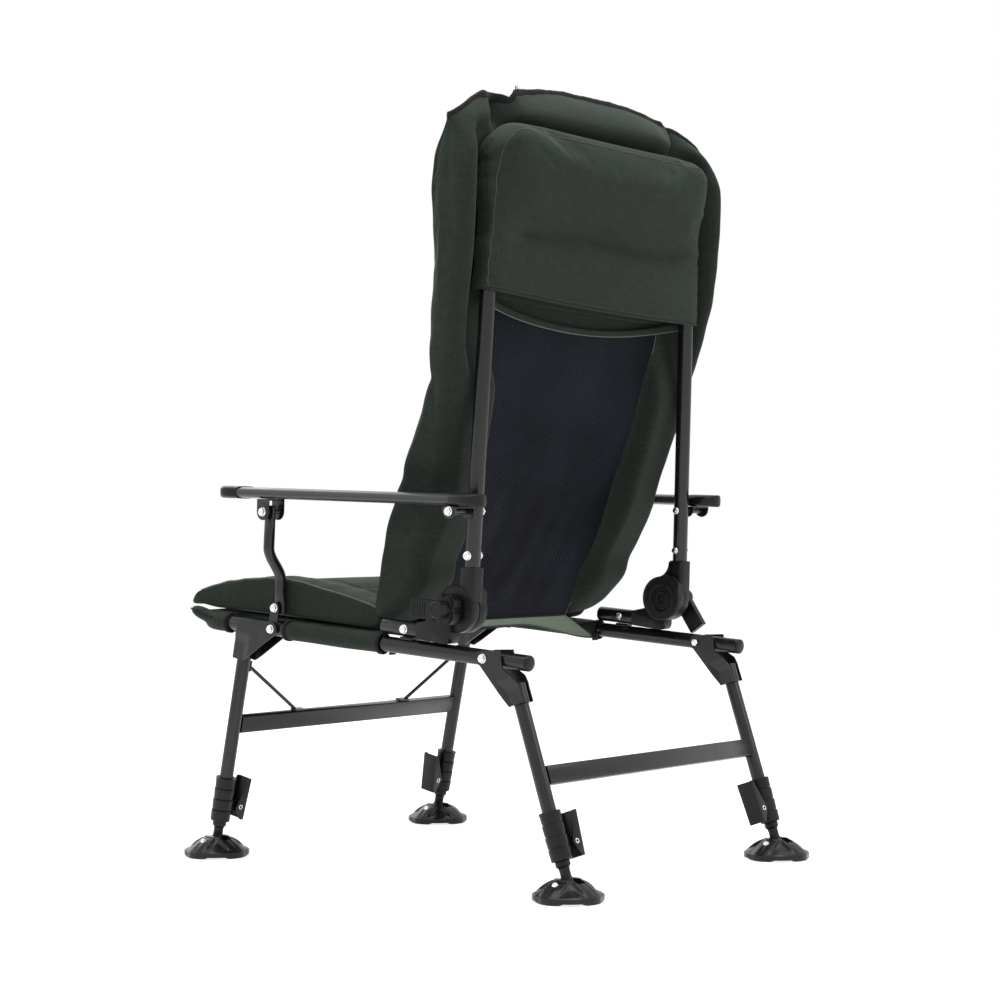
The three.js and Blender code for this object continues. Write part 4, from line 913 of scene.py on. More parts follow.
@dataclass(frozen=True)
class Plan:
    """Sizes that several sub-assemblies share, and the frames that they are built in."""

    rail_radius: float = 11.0
    rail_x: float = 252.0
    clearance: float = 0.3
    hinge_along: float = 129.4
    hinge_rise: float = 61.0
    front_pivot_along: float = 467.0
    rear_pivot_along: float = 67.0
    strut_pivot: tuple[float, float] = (464.5, 31.0)
    tube_offset: float = 19.5
    tube_x: float = 247.7
    tube_lean: float = 1.585
    arm_rise: float = 134.6
    arm_front_reach: float = 354.0
    arm_front_drop: float = 11.3

    @property
    def seat(self) -> Turned:
        """The seat's frame: along a rail from its rear end is -Y."""
        return Turned((0.0, 264.0, 310.0), -3.85)

    @property
    def back(self) -> Turned:
        """The back frame's own frame, at the recline hinge."""
        return Turned(self.seat.place(-self.hinge_along, self.hinge_rise), -2.9)

    @property
    def arm(self) -> Turned:
        """The armrest's frame, at its rear pivot."""
        return Turned(self.back.place(self.tube_offset, self.arm_rise), -1.6)

    @property
    def strut(self) -> Turned:
        """The strut's frame, at its foot, with +Z towards the armrest's front bolt."""
        along, rise = self.strut_pivot
        foot = self.seat.place(-along, rise)
        head = self.arm.place(-self.arm_front_reach, -self.arm_front_drop)
        return Turned(foot, -math.degrees(math.atan2(head[1] - foot[1], head[2] - foot[2])))

    @property
    def front_legs(self) -> Turned:
        """The front legs' frame, at their feet's bolts, with +Z up the legs."""
        return Turned((0.0, -329.0, 22.0), -11.8)

    @property
    def rear_legs(self) -> Turned:
        """The rear legs' frame, at their feet's bolts, with +Z up the legs."""
        return Turned((0.0, 331.0, 22.0), 18.7)

    def tube_x_at(self, rise: Array | float) -> Array:
        """How far the back tube stands from the middle, at a rise above the hinge."""
        return self.tube_x - np.asarray(rise, float) * math.tan(math.radians(self.tube_lean))


PLAN = Plan()


@dataclass(frozen=True)
class Side:
    """One side of the chair. Shells are worked out for the left side, and mirrored for the right one."""

    name: str
    sign: float

    def of(self, stem: str) -> str:
        """The name of this side's piece, node or body."""
        return f"{stem}_{self.name}"

    def shells(self, shells: list[Shell], where: Turned) -> list[Shell]:
        """The left side's shells on this side, in the model's frame."""
        return [(s if self.sign > 0 else s.mirrored()).moved(where) for s in shells]

    def put(
        self, stem: str, shells: list[Shell], where: Turned, finish: Finish, body: str, replaces: str = "",
        bevel: Bevel = Bevel.NONE, sharp: float | None = 40.0,
    ) -> bpy.types.Object:
        """Makes this side's piece.

        Args:
            stem: Its name without the side.
            shells: Its surfaces for the left side, in the frame that they are built in.
            where: That frame.
            finish: Its finish.
            body: The body that it rides on.
            replaces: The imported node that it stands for, without the side.
            bevel: The rounding of its edges.
            sharp: Degrees past which an edge stays crisp, or none for cloth.

        Returns:
            The piece's object.
        """
        nodes = (self.of(replaces),) if replaces else ()
        return put(self.of(stem), self.shells(shells, where), finish, body, nodes, bevel, sharp)


SIDES = (Side("left", 1.0), Side("right", -1.0))


# Fasteners


@dataclass
class Fasteners:
    """Bolts and screws: chamfered hex heads on washers, with nuts and thread ends."""

    shank: float = 2.9
    head: float = 5.7
    head_height: float = 3.4
    washer: float = 6.5
    washer_height: float = 0.8
    nut_height: float = 3.8
    sides: int = 48
    socket_rise: float = 74.0

    def hexagon(self) -> Array:
        """A hexagon's radius at each angle: its flat over the cosine of the angle from the flat's middle."""
        turn = full_turn(self.sides)
        return self.head * math.cos(math.pi / 6) / np.cos(np.mod(turn, math.pi / 3) - math.pi / 6)

    def turned(
        self, profile: list[tuple[float, float]], start: float, direction: float, y: float, z: float,
        shape: Array | None = None,
    ) -> Shell:
        """A body turned about X that starts at a place and grows in a direction."""
        shell = lathe(profile, "x", self.sides, shape)
        return Shell(shell.points * np.array([direction, 1.0, 1.0]), shell.quads).shifted(start, y, z)

    def bolt(self, y: float, z: float, shoulder: float, end: float, nut: bool = True) -> list[Shell]:
        """A bolt along X, from under its head at the shoulder to its far end.

        Args:
            y: Its place in the frame that it is built in.
            z: Its place in that frame.
            shoulder: Where the head's washer rests.
            end: Where the far end's nut, or the plain end, starts from inside.
            nut: Whether it has a nut.

        Returns:
            Its shells.
        """
        out = math.copysign(1.0, shoulder - end)
        length, big, tall = abs(shoulder - end), self.head * 1.02, self.head_height
        wide, thick, high = self.washer, self.washer_height, self.nut_height
        washer = [(0, 0), (wide - 0.2, 0), (wide, 0.2), (wide, thick - 0.2), (wide - 0.2, thick), (0, thick)]
        head = [(0, 0), (big, 0), (big, tall - 0.9), (big - 0.6, tall - 0.35), (self.head - 1.3, tall),
                (2.2, tall + 0.15), (0, tall + 0.2)]
        shank = [(0, 0), (self.shank, 0), (self.shank, length), (0, length)]
        parts = [
            self.turned(washer, shoulder, out, y, z),
            self.turned(head, shoulder + out * thick, out, y, z, self.hexagon()),
            self.turned(shank, end, out, y, z),
        ]
        if nut:
            body = [(0, 0), (self.head - 1.2, 0), (big, 0.9), (big, high - 0.6), (self.head - 0.6, high),
                    (0, high)]
            tip = [(0, -0.9), (self.shank - 0.8, -0.9), (self.shank, -0.2), (self.shank, 0.5), (0, 0.5)]
            parts.append(self.turned(body, end, out, y, z, self.hexagon()))
            parts.append(self.turned(tip, end, out, y, z))
        return parts

    def build(self) -> None:
        """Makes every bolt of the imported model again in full, and the small screws of tubes on spigots."""
        bracket = 13.3 + 2.0 + PLAN.clearance
        outer, inner = PLAN.rail_x + bracket, PLAN.rail_x - bracket - 4.6
        strut_y, strut_z = -PLAN.strut_pivot[0], PLAN.strut_pivot[1]
        rear_y, rear_z = PLAN.tube_offset, PLAN.arm_rise
        arm_y, arm_z = -PLAN.arm_front_reach, -PLAN.arm_front_drop
        for side in SIDES:
            rows = (
                ("front_leg_pivot_bolt", PLAN.seat, -PLAN.front_pivot_along, 0.0, outer, inner, True, "base"),
                ("rear_leg_pivot_bolt", PLAN.seat, -PLAN.rear_pivot_along, 0.0, outer, inner, True, "base"),
                ("strut_pivot_bolt", PLAN.seat, strut_y, strut_z, 264.6, 246.2, False, "base"),
                ("arm_rear_pivot_bolt", PLAN.back, rear_y, rear_z, 300.3, 228.1, True, "backrest"),
                ("arm_front_pivot_bolt", PLAN.arm, arm_y, arm_z, 297.3, 259.6, True, side.of("armrest")),
            )
            for name, where, y, z, shoulder, end, nut, body in rows:
                shells = side.shells(self.bolt(y, z, shoulder, end, nut), where)
                put(f"{side.of(name)}_full", shells, STEEL, body, (side.of(name),), sharp=32.0)
            tube = float(PLAN.tube_x_at(self.socket_rise))
            socket = self.bolt(PLAN.tube_offset, self.socket_rise, tube + 11.2, tube - 15.8)
            side.put("socket_screw", socket, PLAN.back, STEEL, "backrest", sharp=32.0)
            stub = self.bolt(-PLAN.hinge_along - 84.6, 25.0, PLAN.rail_x + 11.2, PLAN.rail_x - 15.8)
            side.put("stub_screw", stub, PLAN.seat, STEEL, "base", sharp=32.0)


# Rigid frame


def cut_away(piece: bpy.types.Object, cutter: Shell, sharp: float) -> None:
    """Takes a body's room out of a piece, and leaves the piece's mesh final."""
    finish = piece.data.materials[0]
    other = add_object("room", mesh_of("room", [cutter])[0])
    boolean = piece.modifiers.new("room", "BOOLEAN")
    boolean.operation, boolean.object, boolean.solver = "DIFFERENCE", other, "EXACT"
    settle(piece)
    bpy.data.objects.remove(other)
    piece.data.materials.clear()
    piece.data.materials.append(finish)
    shade_smooth(piece.data)
    piece.data.set_sharp_from_angle(angle=math.radians(sharp))


@dataclass
class SeatFrame:
    """The bent seat tube with its lugs, posts, plugs and the stub tubes over it."""

    front: float = 627.0
    corner: float = 45.0
    lug_radius: float = 8.5
    lug_thickness: float = 2.8

    def line(self, start: float = 0.0) -> Array:
        """The tube's centre line: a rail, a quarter circle, the front, and their mirror image."""
        straight = self.front - self.corner
        turn = bend((PLAN.rail_x, -straight, 0.0), (0, -1, 0), (-1, 0, 0), self.corner)
        half = np.vstack([[[PLAN.rail_x, -start, 0.0]], turn])
        return both_halves(half)

    def lug(self) -> Shell:
        """The welded plate that carries the strut: two half circles joined by straight sides."""
        foot, head = (-PLAN.front_pivot_along, 0.0), (-PLAN.strut_pivot[0], PLAN.strut_pivot[1])
        low = arc(foot, self.lug_radius, 180, 360, 14)
        high = arc(head, self.lug_radius, 0, 180, 14)
        return plate(np.vstack([low, high]), PLAN.rail_x + 9.5, self.lug_thickness)

    def weld_bead(self, centre: tuple[float, float, float], length: float) -> Shell:
        """A lumpy weld along a rail: a thin bar whose radius swells at each drop of metal."""
        y = np.linspace(-length / 2, length / 2, 40)
        radius = 1.3 + 0.35 * np.abs(np.sin(y * 1.1)) - 0.9 * (np.abs(y) / (length / 2)) ** 6
        return cord_line(xyz(centre[0], centre[1] + y, centre[2]), radius, 10)

    def build(self) -> None:
        """Makes the tube, its welded parts, its plugs and the stub tubes."""
        tube = sweep(self.line(), PLAN.rail_radius, (0, 0, 1), start=End.OPEN, end=End.OPEN)
        put("seat_tube", [tube.moved(PLAN.seat)], FRAME, "base", ("seat_frame",))
        post = block((PLAN.rail_x - 6, -225, 9.5), (PLAN.rail_x + 6, -203, 13.7))
        beads = [self.weld_bead((PLAN.rail_x + off, -214.0, 11.3), 21.0) for off in (6.6, -6.6)]
        beads.append(self.weld_bead((PLAN.rail_x + 10.4, -466.0, 6.6), 12.0))
        line = xyz(PLAN.rail_x, np.array([-192.3, -210.0, -259.0]), 25.0)
        stub = sweep(line, PLAN.rail_radius, (0, 0, 1), end=End.OPEN)
        for side in SIDES:
            side.put("seat_lug", [self.lug()], PLAN.seat, FRAME, "base", bevel=Bevel.FINE)
            side.put("stub_post", [post], PLAN.seat, FRAME, "base", bevel=Bevel.FINE)
            side.put("weld_beads", beads, PLAN.seat, FRAME, "base")
            side.put("rail_plug", [self.plug()], PLAN.seat, PLASTIC, "base", "rail_end_cap", sharp=50.0)
            side.put("stub_tube", [stub], PLAN.seat, FRAME, "base", "hinge_stub_tube")

    def plug(self) -> Shell:
        """The ribbed plug in a rail's rear end: a domed flange and a stepped stem."""
        radii = [(0, 4.2), (4, 4.15), (8.5, 3.7), (10.4, 2.9), (11.0, 1.8), (11.0, 0.3), (9.2, 0.3),
                 (9.2, -3), (8.6, -3.4), (8.6, -5), (9.2, -5.4), (9.2, -11), (8.4, -12), (0, -12)]
        shell = lathe(radii, "z", 40)
        x, y, z = shell.points.T
        return Shell(xyz(x + PLAN.rail_x, z, y), shell.quads)


@dataclass
class ReclineHinge:
    """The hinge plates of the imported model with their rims, and the lock knobs in full."""

    knob_turns: tuple[float, float] = (0.0, 128.0)

    def rim(self, x: float, radius: float, thick: float) -> Shell:
        """A raised ring round the hinge's axis, at a distance across."""
        rise, a, b = ring(radius, thick)
        return grid(xyz(x + rise, a, b))

    def moving_disc(self) -> Shell:
        """The moving half's disc, with a ribbed recess on the side that faces the chair's middle."""
        profile = [
            (5.4, 241.8), (5.4, 230.2), (8.4, 230.2), (8.6, 229.2), (9.5, 228.6), (10.4, 229.2),
            (10.6, 230.2), (18.6, 230.2), (19.0, 229.8), (19.0, 227.0), (19.7, 226.2), (21.4, 226.0),
            (22.0, 226.7), (29.4, 226.7), (30.0, 226.0), (32.2, 226.1), (33.2, 226.9), (33.5, 228.0),
            (33.5, 240.6), (32.9, 241.8), (5.4, 241.8),
        ]
        return lathe(profile, "x", 72)

    def socket(self) -> Shell:
        """The rounded-square socket that the back tube stands in, on the tube's leaning line."""
        rises = np.array([1.0, 1.3, 2.2, 30.0, 56.6, 57.7, 58.0])
        halves = np.array([11.6, 12.5, 13.0, 13.0, 13.0, 12.6, 11.8])
        return column(xyz(PLAN.tube_x_at(rises), PLAN.tube_offset, rises), halves, 4.5)

    def moving_webs(self) -> list[Shell]:
        """The webs from the disc to the socket: one hugs the disc, and one carries the curved shoulder."""
        rim = arc((0.0, 0.0), 30.5, 135, 2, 24)
        edge = [[32.0, 1.0], [32.0, 24.0], [24.0, 33.0], [8.0, 37.0], [-4.0, 33.3], [-23.7, 23.7]]
        shoulder = arc((-15.5, 54.0), 22.0, 0, -65, 14)
        high = np.vstack([[[-20.0, 20.0], [0.0, 0.0], [28.0, 4.0], [28.0, 56.0], [7.0, 56.0]], shoulder])
        return [plate(np.vstack([rim, edge]), 226.6, 15.2), plate(high, 234.6, 7.2)]

    def knob(self) -> tuple[list[Shell], list[Shell]]:
        """The left knob about the hinge's axis, wing forward: its turned parts, and its bevelled parts."""
        boss = [(0, 231), (4.9, 231), (5, 232), (5, 256.4), (14.4, 256.4), (15, 257), (15, 262.6),
                (15, 266), (0, 266)]
        cap = [(0, 277), (12.2, 277), (12.4, 277.4), (12.4, 294.6), (11.9, 296.2), (10.8, 297.4),
               (9.8, 297.8), (9.2, 297.4), (8.9, 296.8), (0, 296.8)]
        flutes = 12.15 + 0.25 * np.cos(full_turn(96) * 12)
        turned = [lathe(boss, "x", 48), lathe(cap, "x", 96, flutes)]
        y, z, cut = 17.0, 20.5, 7.0
        notch = np.array([
            [-y, -z + cut], [-y + cut, -z], [-3.0, -z], [-2.0, -z + 2.2], [3.0, -z + 2.2], [4.0, -z],
            [y - cut, -z], [y, -z + cut], [y, -4.0], [y - 2.2, -3.0], [y - 2.2, 3.0], [y, 4.0],
        ])
        collar = np.vstack([notch, -notch])
        collar = collar[np.argsort(np.arctan2(collar[:, 1], collar[:, 0]))]
        flat = [plate(collar, 263.3, 16.4), plate(collar * np.array([0.86, 0.88]), 279.2, 3.2)]
        flat.append(block((273.0, -58.0, -16.0), (282.5, -15.0, 10.4)))
        flat += [block((282.1, -55.6 + 4.4 * i, -13.8), (283.2, -53.8 + 4.4 * i, 8.2)) for i in range(6)]
        return turned, flat

    def build(self) -> None:
        """Dresses the plates and makes the rims and the knobs."""
        hinge = Turned(PLAN.back.origin, PLAN.seat.degrees)
        rims = [self.rim(256.0, 31.0, 0.7), self.rim(256.0, 20.5, 0.6)]
        room = lathe([(0, 242.0), (34.2, 242.0), (34.2, 270.0), (0, 270.0)], "x", 72)
        turned, flat = self.knob()
        for side, turn in zip(SIDES, self.knob_turns):
            keep_node(side.of("hinge_lower_plate"), PLASTIC, Bevel.SOFT)
            side.put("hinge_rim", rims, hinge, PLASTIC, "base")
            disc = [self.moving_disc()]
            side.put("moving_disc", disc, PLAN.back, PLASTIC, "backrest", "hinge_upper_plate", sharp=35.0)
            side.put("moving_web", self.moving_webs(), PLAN.back, PLASTIC, "backrest", bevel=Bevel.SOFT)
            socket = side.put("tube_socket", [self.socket()], PLAN.back, PLASTIC, "backrest")
            cut_away(socket, side.shells([room], PLAN.back)[0], 38.0)
            where, knob = Turned(PLAN.back.origin, PLAN.seat.degrees + turn), side.of("lock_knob")
            side.put("knob_shaft", turned, where, PLASTIC, knob, "lock_knob", sharp=35.0)
            side.put("knob_wing", flat, where, PLASTIC, knob, bevel=Bevel.SOFT)


@dataclass
class BackFrame:
    """The bent back tube."""

    top: float = 622.0
    corner: float = 55.0
    seat_rise: float = 34.8

    def line(self) -> Array:
        """The tube's centre line: a leaning side, a corner arc, the top, and their mirror image."""
        y = PLAN.tube_offset
        start = np.array([float(PLAN.tube_x_at(self.seat_rise)), y, self.seat_rise])
        corner = np.array([float(PLAN.tube_x_at(self.top - self.corner)), y, self.top - self.corner])
        half = np.vstack([start, bend(corner, corner - start, (-1, 0, 0), self.corner)])
        return both_halves(half)

    def build(self) -> None:
        """Makes the tube."""
        tube = sweep(self.line(), PLAN.rail_radius, (0, 1, 0))
        put("back_tube", [tube.moved(PLAN.back)], FRAME, "backrest", ("back_frame",))


@dataclass
class Armrests:
    """Flat oval armrests with moulded caps, their folded brackets and the bent struts."""

    x: float = 280.0
    front: float = 450.0
    rear: float = 43.0
    width: float = 40.0
    thickness: float = 16.0
    centre: float = 15.5
    cap_length: float = 44.0
    cap_growth: float = 1.0
    head_reach: float = 18.5
    strut_length: float = 130.6
    strut_foot_x: float = 253.7
    strut_head_x: float = 281.0

    def section(self, half_width: Array, half_height: Array, y: Array, power: float) -> Shell:
        """Rounded-square sections along Y."""
        across, high = squircle(power, 56)
        x = self.x + half_width[:, None] * across
        return grid(xyz(x, y[:, None], self.centre + half_height[:, None] * high))

    def bar(self) -> Shell:
        """The oval tube between the caps."""
        y = np.linspace(-self.front + 20, self.rear - 20, 30)
        ends = np.ones(30)
        return self.section(ends * self.width / 2, ends * self.thickness / 2, y, 2.7)

    def cap(self, root: float, tip: float) -> Shell:
        """A moulded cap: its plan ends in a half circle, and its edge is rounded near the tip."""
        out = math.copysign(1.0, tip - root)
        half = self.width / 2 + self.cap_growth
        turn = np.radians(np.concatenate([[0, 0], np.linspace(0, 90, 22)]))
        y = tip - out * half * (1 - np.sin(turn))
        y[:2] = root, root + out * 0.4
        width = half * np.cos(turn)
        width[:2] = half - 0.8, half - 0.2
        height = (self.thickness / 2 + self.cap_growth) * np.ones_like(width)
        height[0] -= 0.7
        height *= np.clip((width / 5.0), 0, 1) ** 0.45
        width[-1], height[-1] = 0.0, 0.0
        rings = self.section(width, height, y, 3.6)
        ends = np.array([0.0, 1.0])
        lid = self.section(ends * width[0], ends * height[0], np.array([root, root]), 3.6)
        quads = np.vstack([rings.quads, lid.quads + len(rings.points)])
        return Shell(np.vstack([rings.points, lid.points]), quads)

    def strut(self) -> Shell:
        """The bent strut: round, swung outwards by half a cosine, and pressed flat at its foot and head."""
        length = self.strut_length
        foot_end, middle = np.linspace(-9, 0.25 * length, 12), np.linspace(0.28, 0.7, 26) * length
        z = np.concatenate([foot_end, middle, np.linspace(0.74 * length, length + self.head_reach, 12)])
        swing = (1 - np.cos(math.pi * np.clip((z / length - 0.3) / 0.38, 0, 1))) / 2
        x = self.strut_foot_x + (self.strut_head_x - self.strut_foot_x) * swing
        foot = 1 - smoothstep(z, 2, 26)
        head = smoothstep(z, length - 24, length - 2)
        flat = np.maximum(foot, head * 0.75)
        radii = np.column_stack([7.6 - 3.4 * flat, 8.4 + 1.9 * flat])
        return sweep(xyz(x, 0.0, z), radii, (0, 1, 0), sides=32, rim=2.4)

    def build(self) -> None:
        """Makes the armrests and the struts, and dresses the brackets."""
        caps = [self.cap(-self.front + self.cap_length, -self.front)]
        caps.append(self.cap(self.rear - self.cap_length, self.rear))
        line = xyz(np.array([260.5, 280.0, 298.0]), PLAN.tube_offset, PLAN.arm_rise)
        spacer = sweep(line, 4.4, (0, 0, 1))
        for side in SIDES:
            body = side.of("armrest")
            side.put("arm_tube", [self.bar()], PLAN.arm, ARM_COAT, body, "armrest")
            side.put("arm_caps", caps, PLAN.arm, PLASTIC, body, sharp=60.0)
            keep_node(side.of("arm_rear_bracket"), FRAME)
            keep_node(side.of("arm_front_bracket"), FRAME)
            side.put("arm_spacer", [spacer], PLAN.back, FRAME, "backrest")
            side.put("bent_strut", [self.strut()], PLAN.strut, FRAME, side.of("strut"), "arm_strut")


# Legs


@dataclass
class LegPair:
    """One pair of legs: outer tubes in folded brackets, clamps and inner legs."""

    name: str
    where: Turned
    pivot: tuple[float, float]
    top: float
    back_edge: tuple[tuple[float, float], ...]
    tip: float
    to_seat: float
    leg_radius: float = 10.0
    collar_low: float = 32.0
    collar_length: float = 66.0
    collar_radius: float = 14.6

    def cheek(self, hand: float) -> Shell:
        """One cheek of the folded bracket, from beside the leg out to its tail round the pivot.

        Rows rise from the tip to the tail and run from the back edge to the front edge. The cheek stands
        off the rail's middle by the leg's radius, and eases out to clear the rail above and ahead of it.
        """
        y, z = self.pivot
        tail = arc((y, z), 11.0, -60 if self.name == "front" else -45, 96, 14)
        back = np.array([*self.back_edge, (tail[-1, 1], tail[-1, 0])])
        front = np.array([(self.tip, 11.6), *tail[:, ::-1]])
        rise = np.unique(np.concatenate([np.linspace(self.tip, tail[-1, 1], 26), tail[:, 1], back[:, 0]]))
        ends = [np.interp(rise, edge[:, 0], edge[:, 1])[:, None] for edge in (back, front)]
        reach = ends[0] + (ends[1] - ends[0]) * np.linspace(0, 1, 22)
        rise = rise[:, None]
        out = 10.5 + 2.8 * np.maximum(smoothstep(reach, 7, 22), smoothstep(rise, self.top - 8, self.top + 10))
        layers = [xyz(PLAN.rail_x + hand * (out + more), reach * self.to_seat, rise) for more in (0.0, 2.0)]
        return slab(*layers)

    def fold(self) -> Shell:
        """The bracket's round back, which hugs the leg on the side away from the seat."""
        turn = np.radians(np.linspace(-90, 90, 25))[None, :]
        rise = np.linspace(self.tip, self.top - 1.0, 8)[:, None]
        across, behind = np.sin(turn), -self.to_seat * np.cos(turn)
        return slab(*(xyz(PLAN.rail_x + r * across, r * behind, rise) for r in (10.5, 12.5)))

    def collar(self) -> Shell:
        """The clamp's sleeve: four bands that swell towards their tops, between two plain lips."""
        low, length, radius = self.collar_low, self.collar_length, self.collar_radius
        z = np.linspace(0, length, 133)
        band = np.mod(z / length * 4, 1.0)
        swell_out = -0.9 * (1 - smoothstep(band, 0.0, 0.16)) + 0.5 * smoothstep(band, 0.1, 0.9) - 0.35
        lips = hump(z, 0.0, 2.4) + hump(z, length, 2.4)
        profile = [(10.3, low)] + [(radius + s + 0.5 * p, low + at) for at, s, p in zip(z, swell_out, lips)]
        profile += [(10.3, low + length), (10.3, low)]
        return lathe(profile, "z", 48).shifted(PLAN.rail_x, 0.0, 0.0)

    def clamp_parts(self) -> list[Shell]:
        """The lug that carries the lever's pin, and the clamp's split on the far side."""
        x = PLAN.rail_x
        lug = block((x - 30.0, -6.0, 45.5), (x - 12.4, 6.0, 60.5))
        ridge = block((x - 17.5, -1.6, 66.0), (x - 13.2, 1.6, 92.0))
        return [lug, ridge]

    def inner_leg(self) -> list[Shell]:
        """The sliding leg, its ribbed bush and the flared tip in the foot."""
        x = PLAN.rail_x
        stem = sweep(xyz(x, 0.0, np.array([10.0, 60.0, 196.0])), 7.2, (0, 1, 0))
        ribs = 10.0 - 0.45 * (np.cos(full_turn(72) * 18) > 0.2)
        profile = [(0, 22.0), (7.4, 22.0), (9.2, 24.0), (10, 24.6), (10, 31.0), (9.6, 31.6), (0, 31.6)]
        bush = lathe(profile, "z", 72, ribs).shifted(x, 0.0, 0.0)
        tip_z = np.array([-8.4, -7.6, -5.0, 0.0, 5.0, 9.0, 13.0, 18.0, 22.5])
        wide = np.array([4.5, 6.0, 7.1, 7.3, 7.2, 6.9, 6.8, 7.0, 7.6])
        deep = np.array([5.5, 7.2, 8.6, 9.4, 8.8, 7.8, 7.1, 7.1, 7.6])
        tip = sweep(xyz(x, 0.0, tip_z), np.column_stack([wide, deep]), (0, 1, 0), rim=1.0)
        return [stem, bush, tip]

    def build(self) -> None:
        """Makes the pair and lets each piece ride on its body."""
        pair, legs, where = self.name, f"{self.name}_legs", self.where
        line = xyz(PLAN.rail_x, 0.0, np.array([36.0, 90.0, self.top]))
        tube = sweep(line, self.leg_radius, (0, 1, 0), start=End.OPEN, end=End.OPEN)
        bracket = [self.cheek(1.0), self.cheek(-1.0), self.fold()]
        collar, lever, inner = f"{pair}_clamp_collar", f"{pair}_clamp_lever", f"{pair}_inner_leg"
        for side in SIDES:
            side.put(f"{pair}_leg_tube", [tube], where, FRAME, legs, f"{pair}_leg")
            side.put(f"{pair}_leg_bracket", bracket, where, FRAME, legs)
            side.put(f"{pair}_clamp_sleeve", [self.collar()], where, PLASTIC, legs, collar)
            side.put(f"{pair}_clamp_lug", self.clamp_parts(), where, PLASTIC, legs, bevel=Bevel.SOFT)
            keep_node(side.of(lever), PLASTIC, Bevel.SOFT)
            side.put(f"{pair}_lever_rivet", self.rivet(), where, STEEL, side.of(lever))
            side.put(f"{pair}_slide_leg", self.inner_leg(), where, PLASTIC, side.of(inner), inner)
        keep_node(f"{pair}_cross_bar", FRAME, Bevel.SOFT)
        if pair == "front":
            for side in SIDES:
                keep_node(side.of("front_stay"), FRAME)

    def rivet(self) -> list[Shell]:
        """The ring-headed rivet on each face of the clamp's lever."""
        rise, across, along = ring(3.0, 0.75, 32, 10)
        x, z = PLAN.rail_x - 26.0 + across, 53.0 + along
        return [grid(xyz(x, face * (13.1 + rise), z)) for face in (1.0, -1.0)]


@dataclass
class MudFoot:
    """A lobed mud foot with a slotted hub, its ribs, its cross bolt and the arched rim between its lobes."""

    radius: float = 49.0
    hub: float = 19.0
    height: float = 30.0
    rim: float = 9.0

    def surface(self) -> Shell:
        """The foot by radius and angle.

        The slope runs straight from the hub to the rim. Between the lobes, where (1 - cos 4t) / 2 is near
        1, it sinks by a fifth in a furrow that widens towards the rim between two ridges, the rim draws
        in, and the rim's lower edge lifts in an arch.
        """
        turn = full_turn(144)
        waist = ((1 - np.cos(4 * turn)) / 2)[None, :]
        valley = smoothstep(waist[0], 0.3, 0.8)
        lobe = 1 - 0.05 * smoothstep((1 + np.cos(4 * turn)) / 2, 0.0, 1.0) * (np.abs(np.sin(4 * turn)) ** 4)
        outer = self.radius * (1 - 0.015 * valley) * lobe
        slope = np.linspace(0, 1, 22)[:, None]
        furrow = smoothstep(waist, 0.9 - 0.7 * slope, 1.0 - 0.62 * slope)
        reach = self.hub + (outer[None, :] - self.hub) * slope
        tall = self.height - 2 + (self.rim - self.height + 2) * slope
        crown = 1.6 * np.sin(math.pi * slope)
        sink = 0.2 * furrow * np.sin(math.pi * np.clip(slope * 1.1, 0, 1)) ** 0.7
        ridge_rise = np.sin(math.pi * np.clip(slope * 1.05, 0, 1)) ** 0.6
        ridge = 1.5 * hump(furrow, 0.25, 0.3) * (waist > 0.02) * ridge_rise
        height = (tall + crown) * (1 - sink) + ridge
        arch = 2.6 * valley[None, :] ** 2
        rows = (
            (0.0, self.height),
            (self.hub - 3.4, self.height),
            (self.hub - 1.2, self.height - 0.5),
            (reach, height),
            (outer, self.rim * 0.55),
            (outer * 0.995, 1.2 + arch * 0.6),
            (outer * 0.97, 0.1 + arch),
            (outer * 0.9, arch),
            (outer * 0.8, 2.0 + arch * 0.7),
            (20.0, 3.0),
            (0.0, 3.0),
        )
        round_once = np.ones((1, len(turn)))
        reach, height = (np.vstack([row[i] * round_once for row in rows]) for i in (0, 1))
        return grid(xyz(reach * np.cos(turn), reach * np.sin(turn), height))

    def slot(self, centre: tuple[float, float]) -> Shell:
        """The slot that the leg's tip swings in."""
        half = np.array([[11.0, 8.2], [15.5, 11.5], [24.0, 16.5], [25.5, 40.0]])
        ends = np.vstack([half * np.array([-1.0, 1.0]), half[::-1]])[[3, 2, 1, 0, 7, 6, 5, 4]]
        return plate(ends + np.array([centre[1], 0.0]), centre[0] - 7.8, 15.6)

    def build(self) -> None:
        """Makes the four feet and their bolts."""
        bolts = Fasteners(shank=2.6, head=5.0, washer=5.6, head_height=2.6, nut_height=3.0)
        for pair, legs in (("front", PLAN.front_legs), ("rear", PLAN.rear_legs)):
            _, y, rise = legs.origin
            for side in SIDES:
                foot, name = side.of(f"{pair}_foot"), side.of(f"{pair}_mud_foot")
                x = side.sign * PLAN.rail_x
                piece = add_object(name, mesh_of(name, [self.surface().shifted(x, y, 0.0)])[0])
                dress(piece, FOOT)
                cut_away(piece, self.slot((x, y)), 34.0)
                finish_piece(piece, foot, (foot,))
                bolt = [s.shifted(x, y, 0.0) for s in bolts.bolt(0.0, rise, 27.0, -27.0)]
                put(side.of(f"{pair}_foot_bolt"), bolt, STEEL, foot, sharp=32.0)


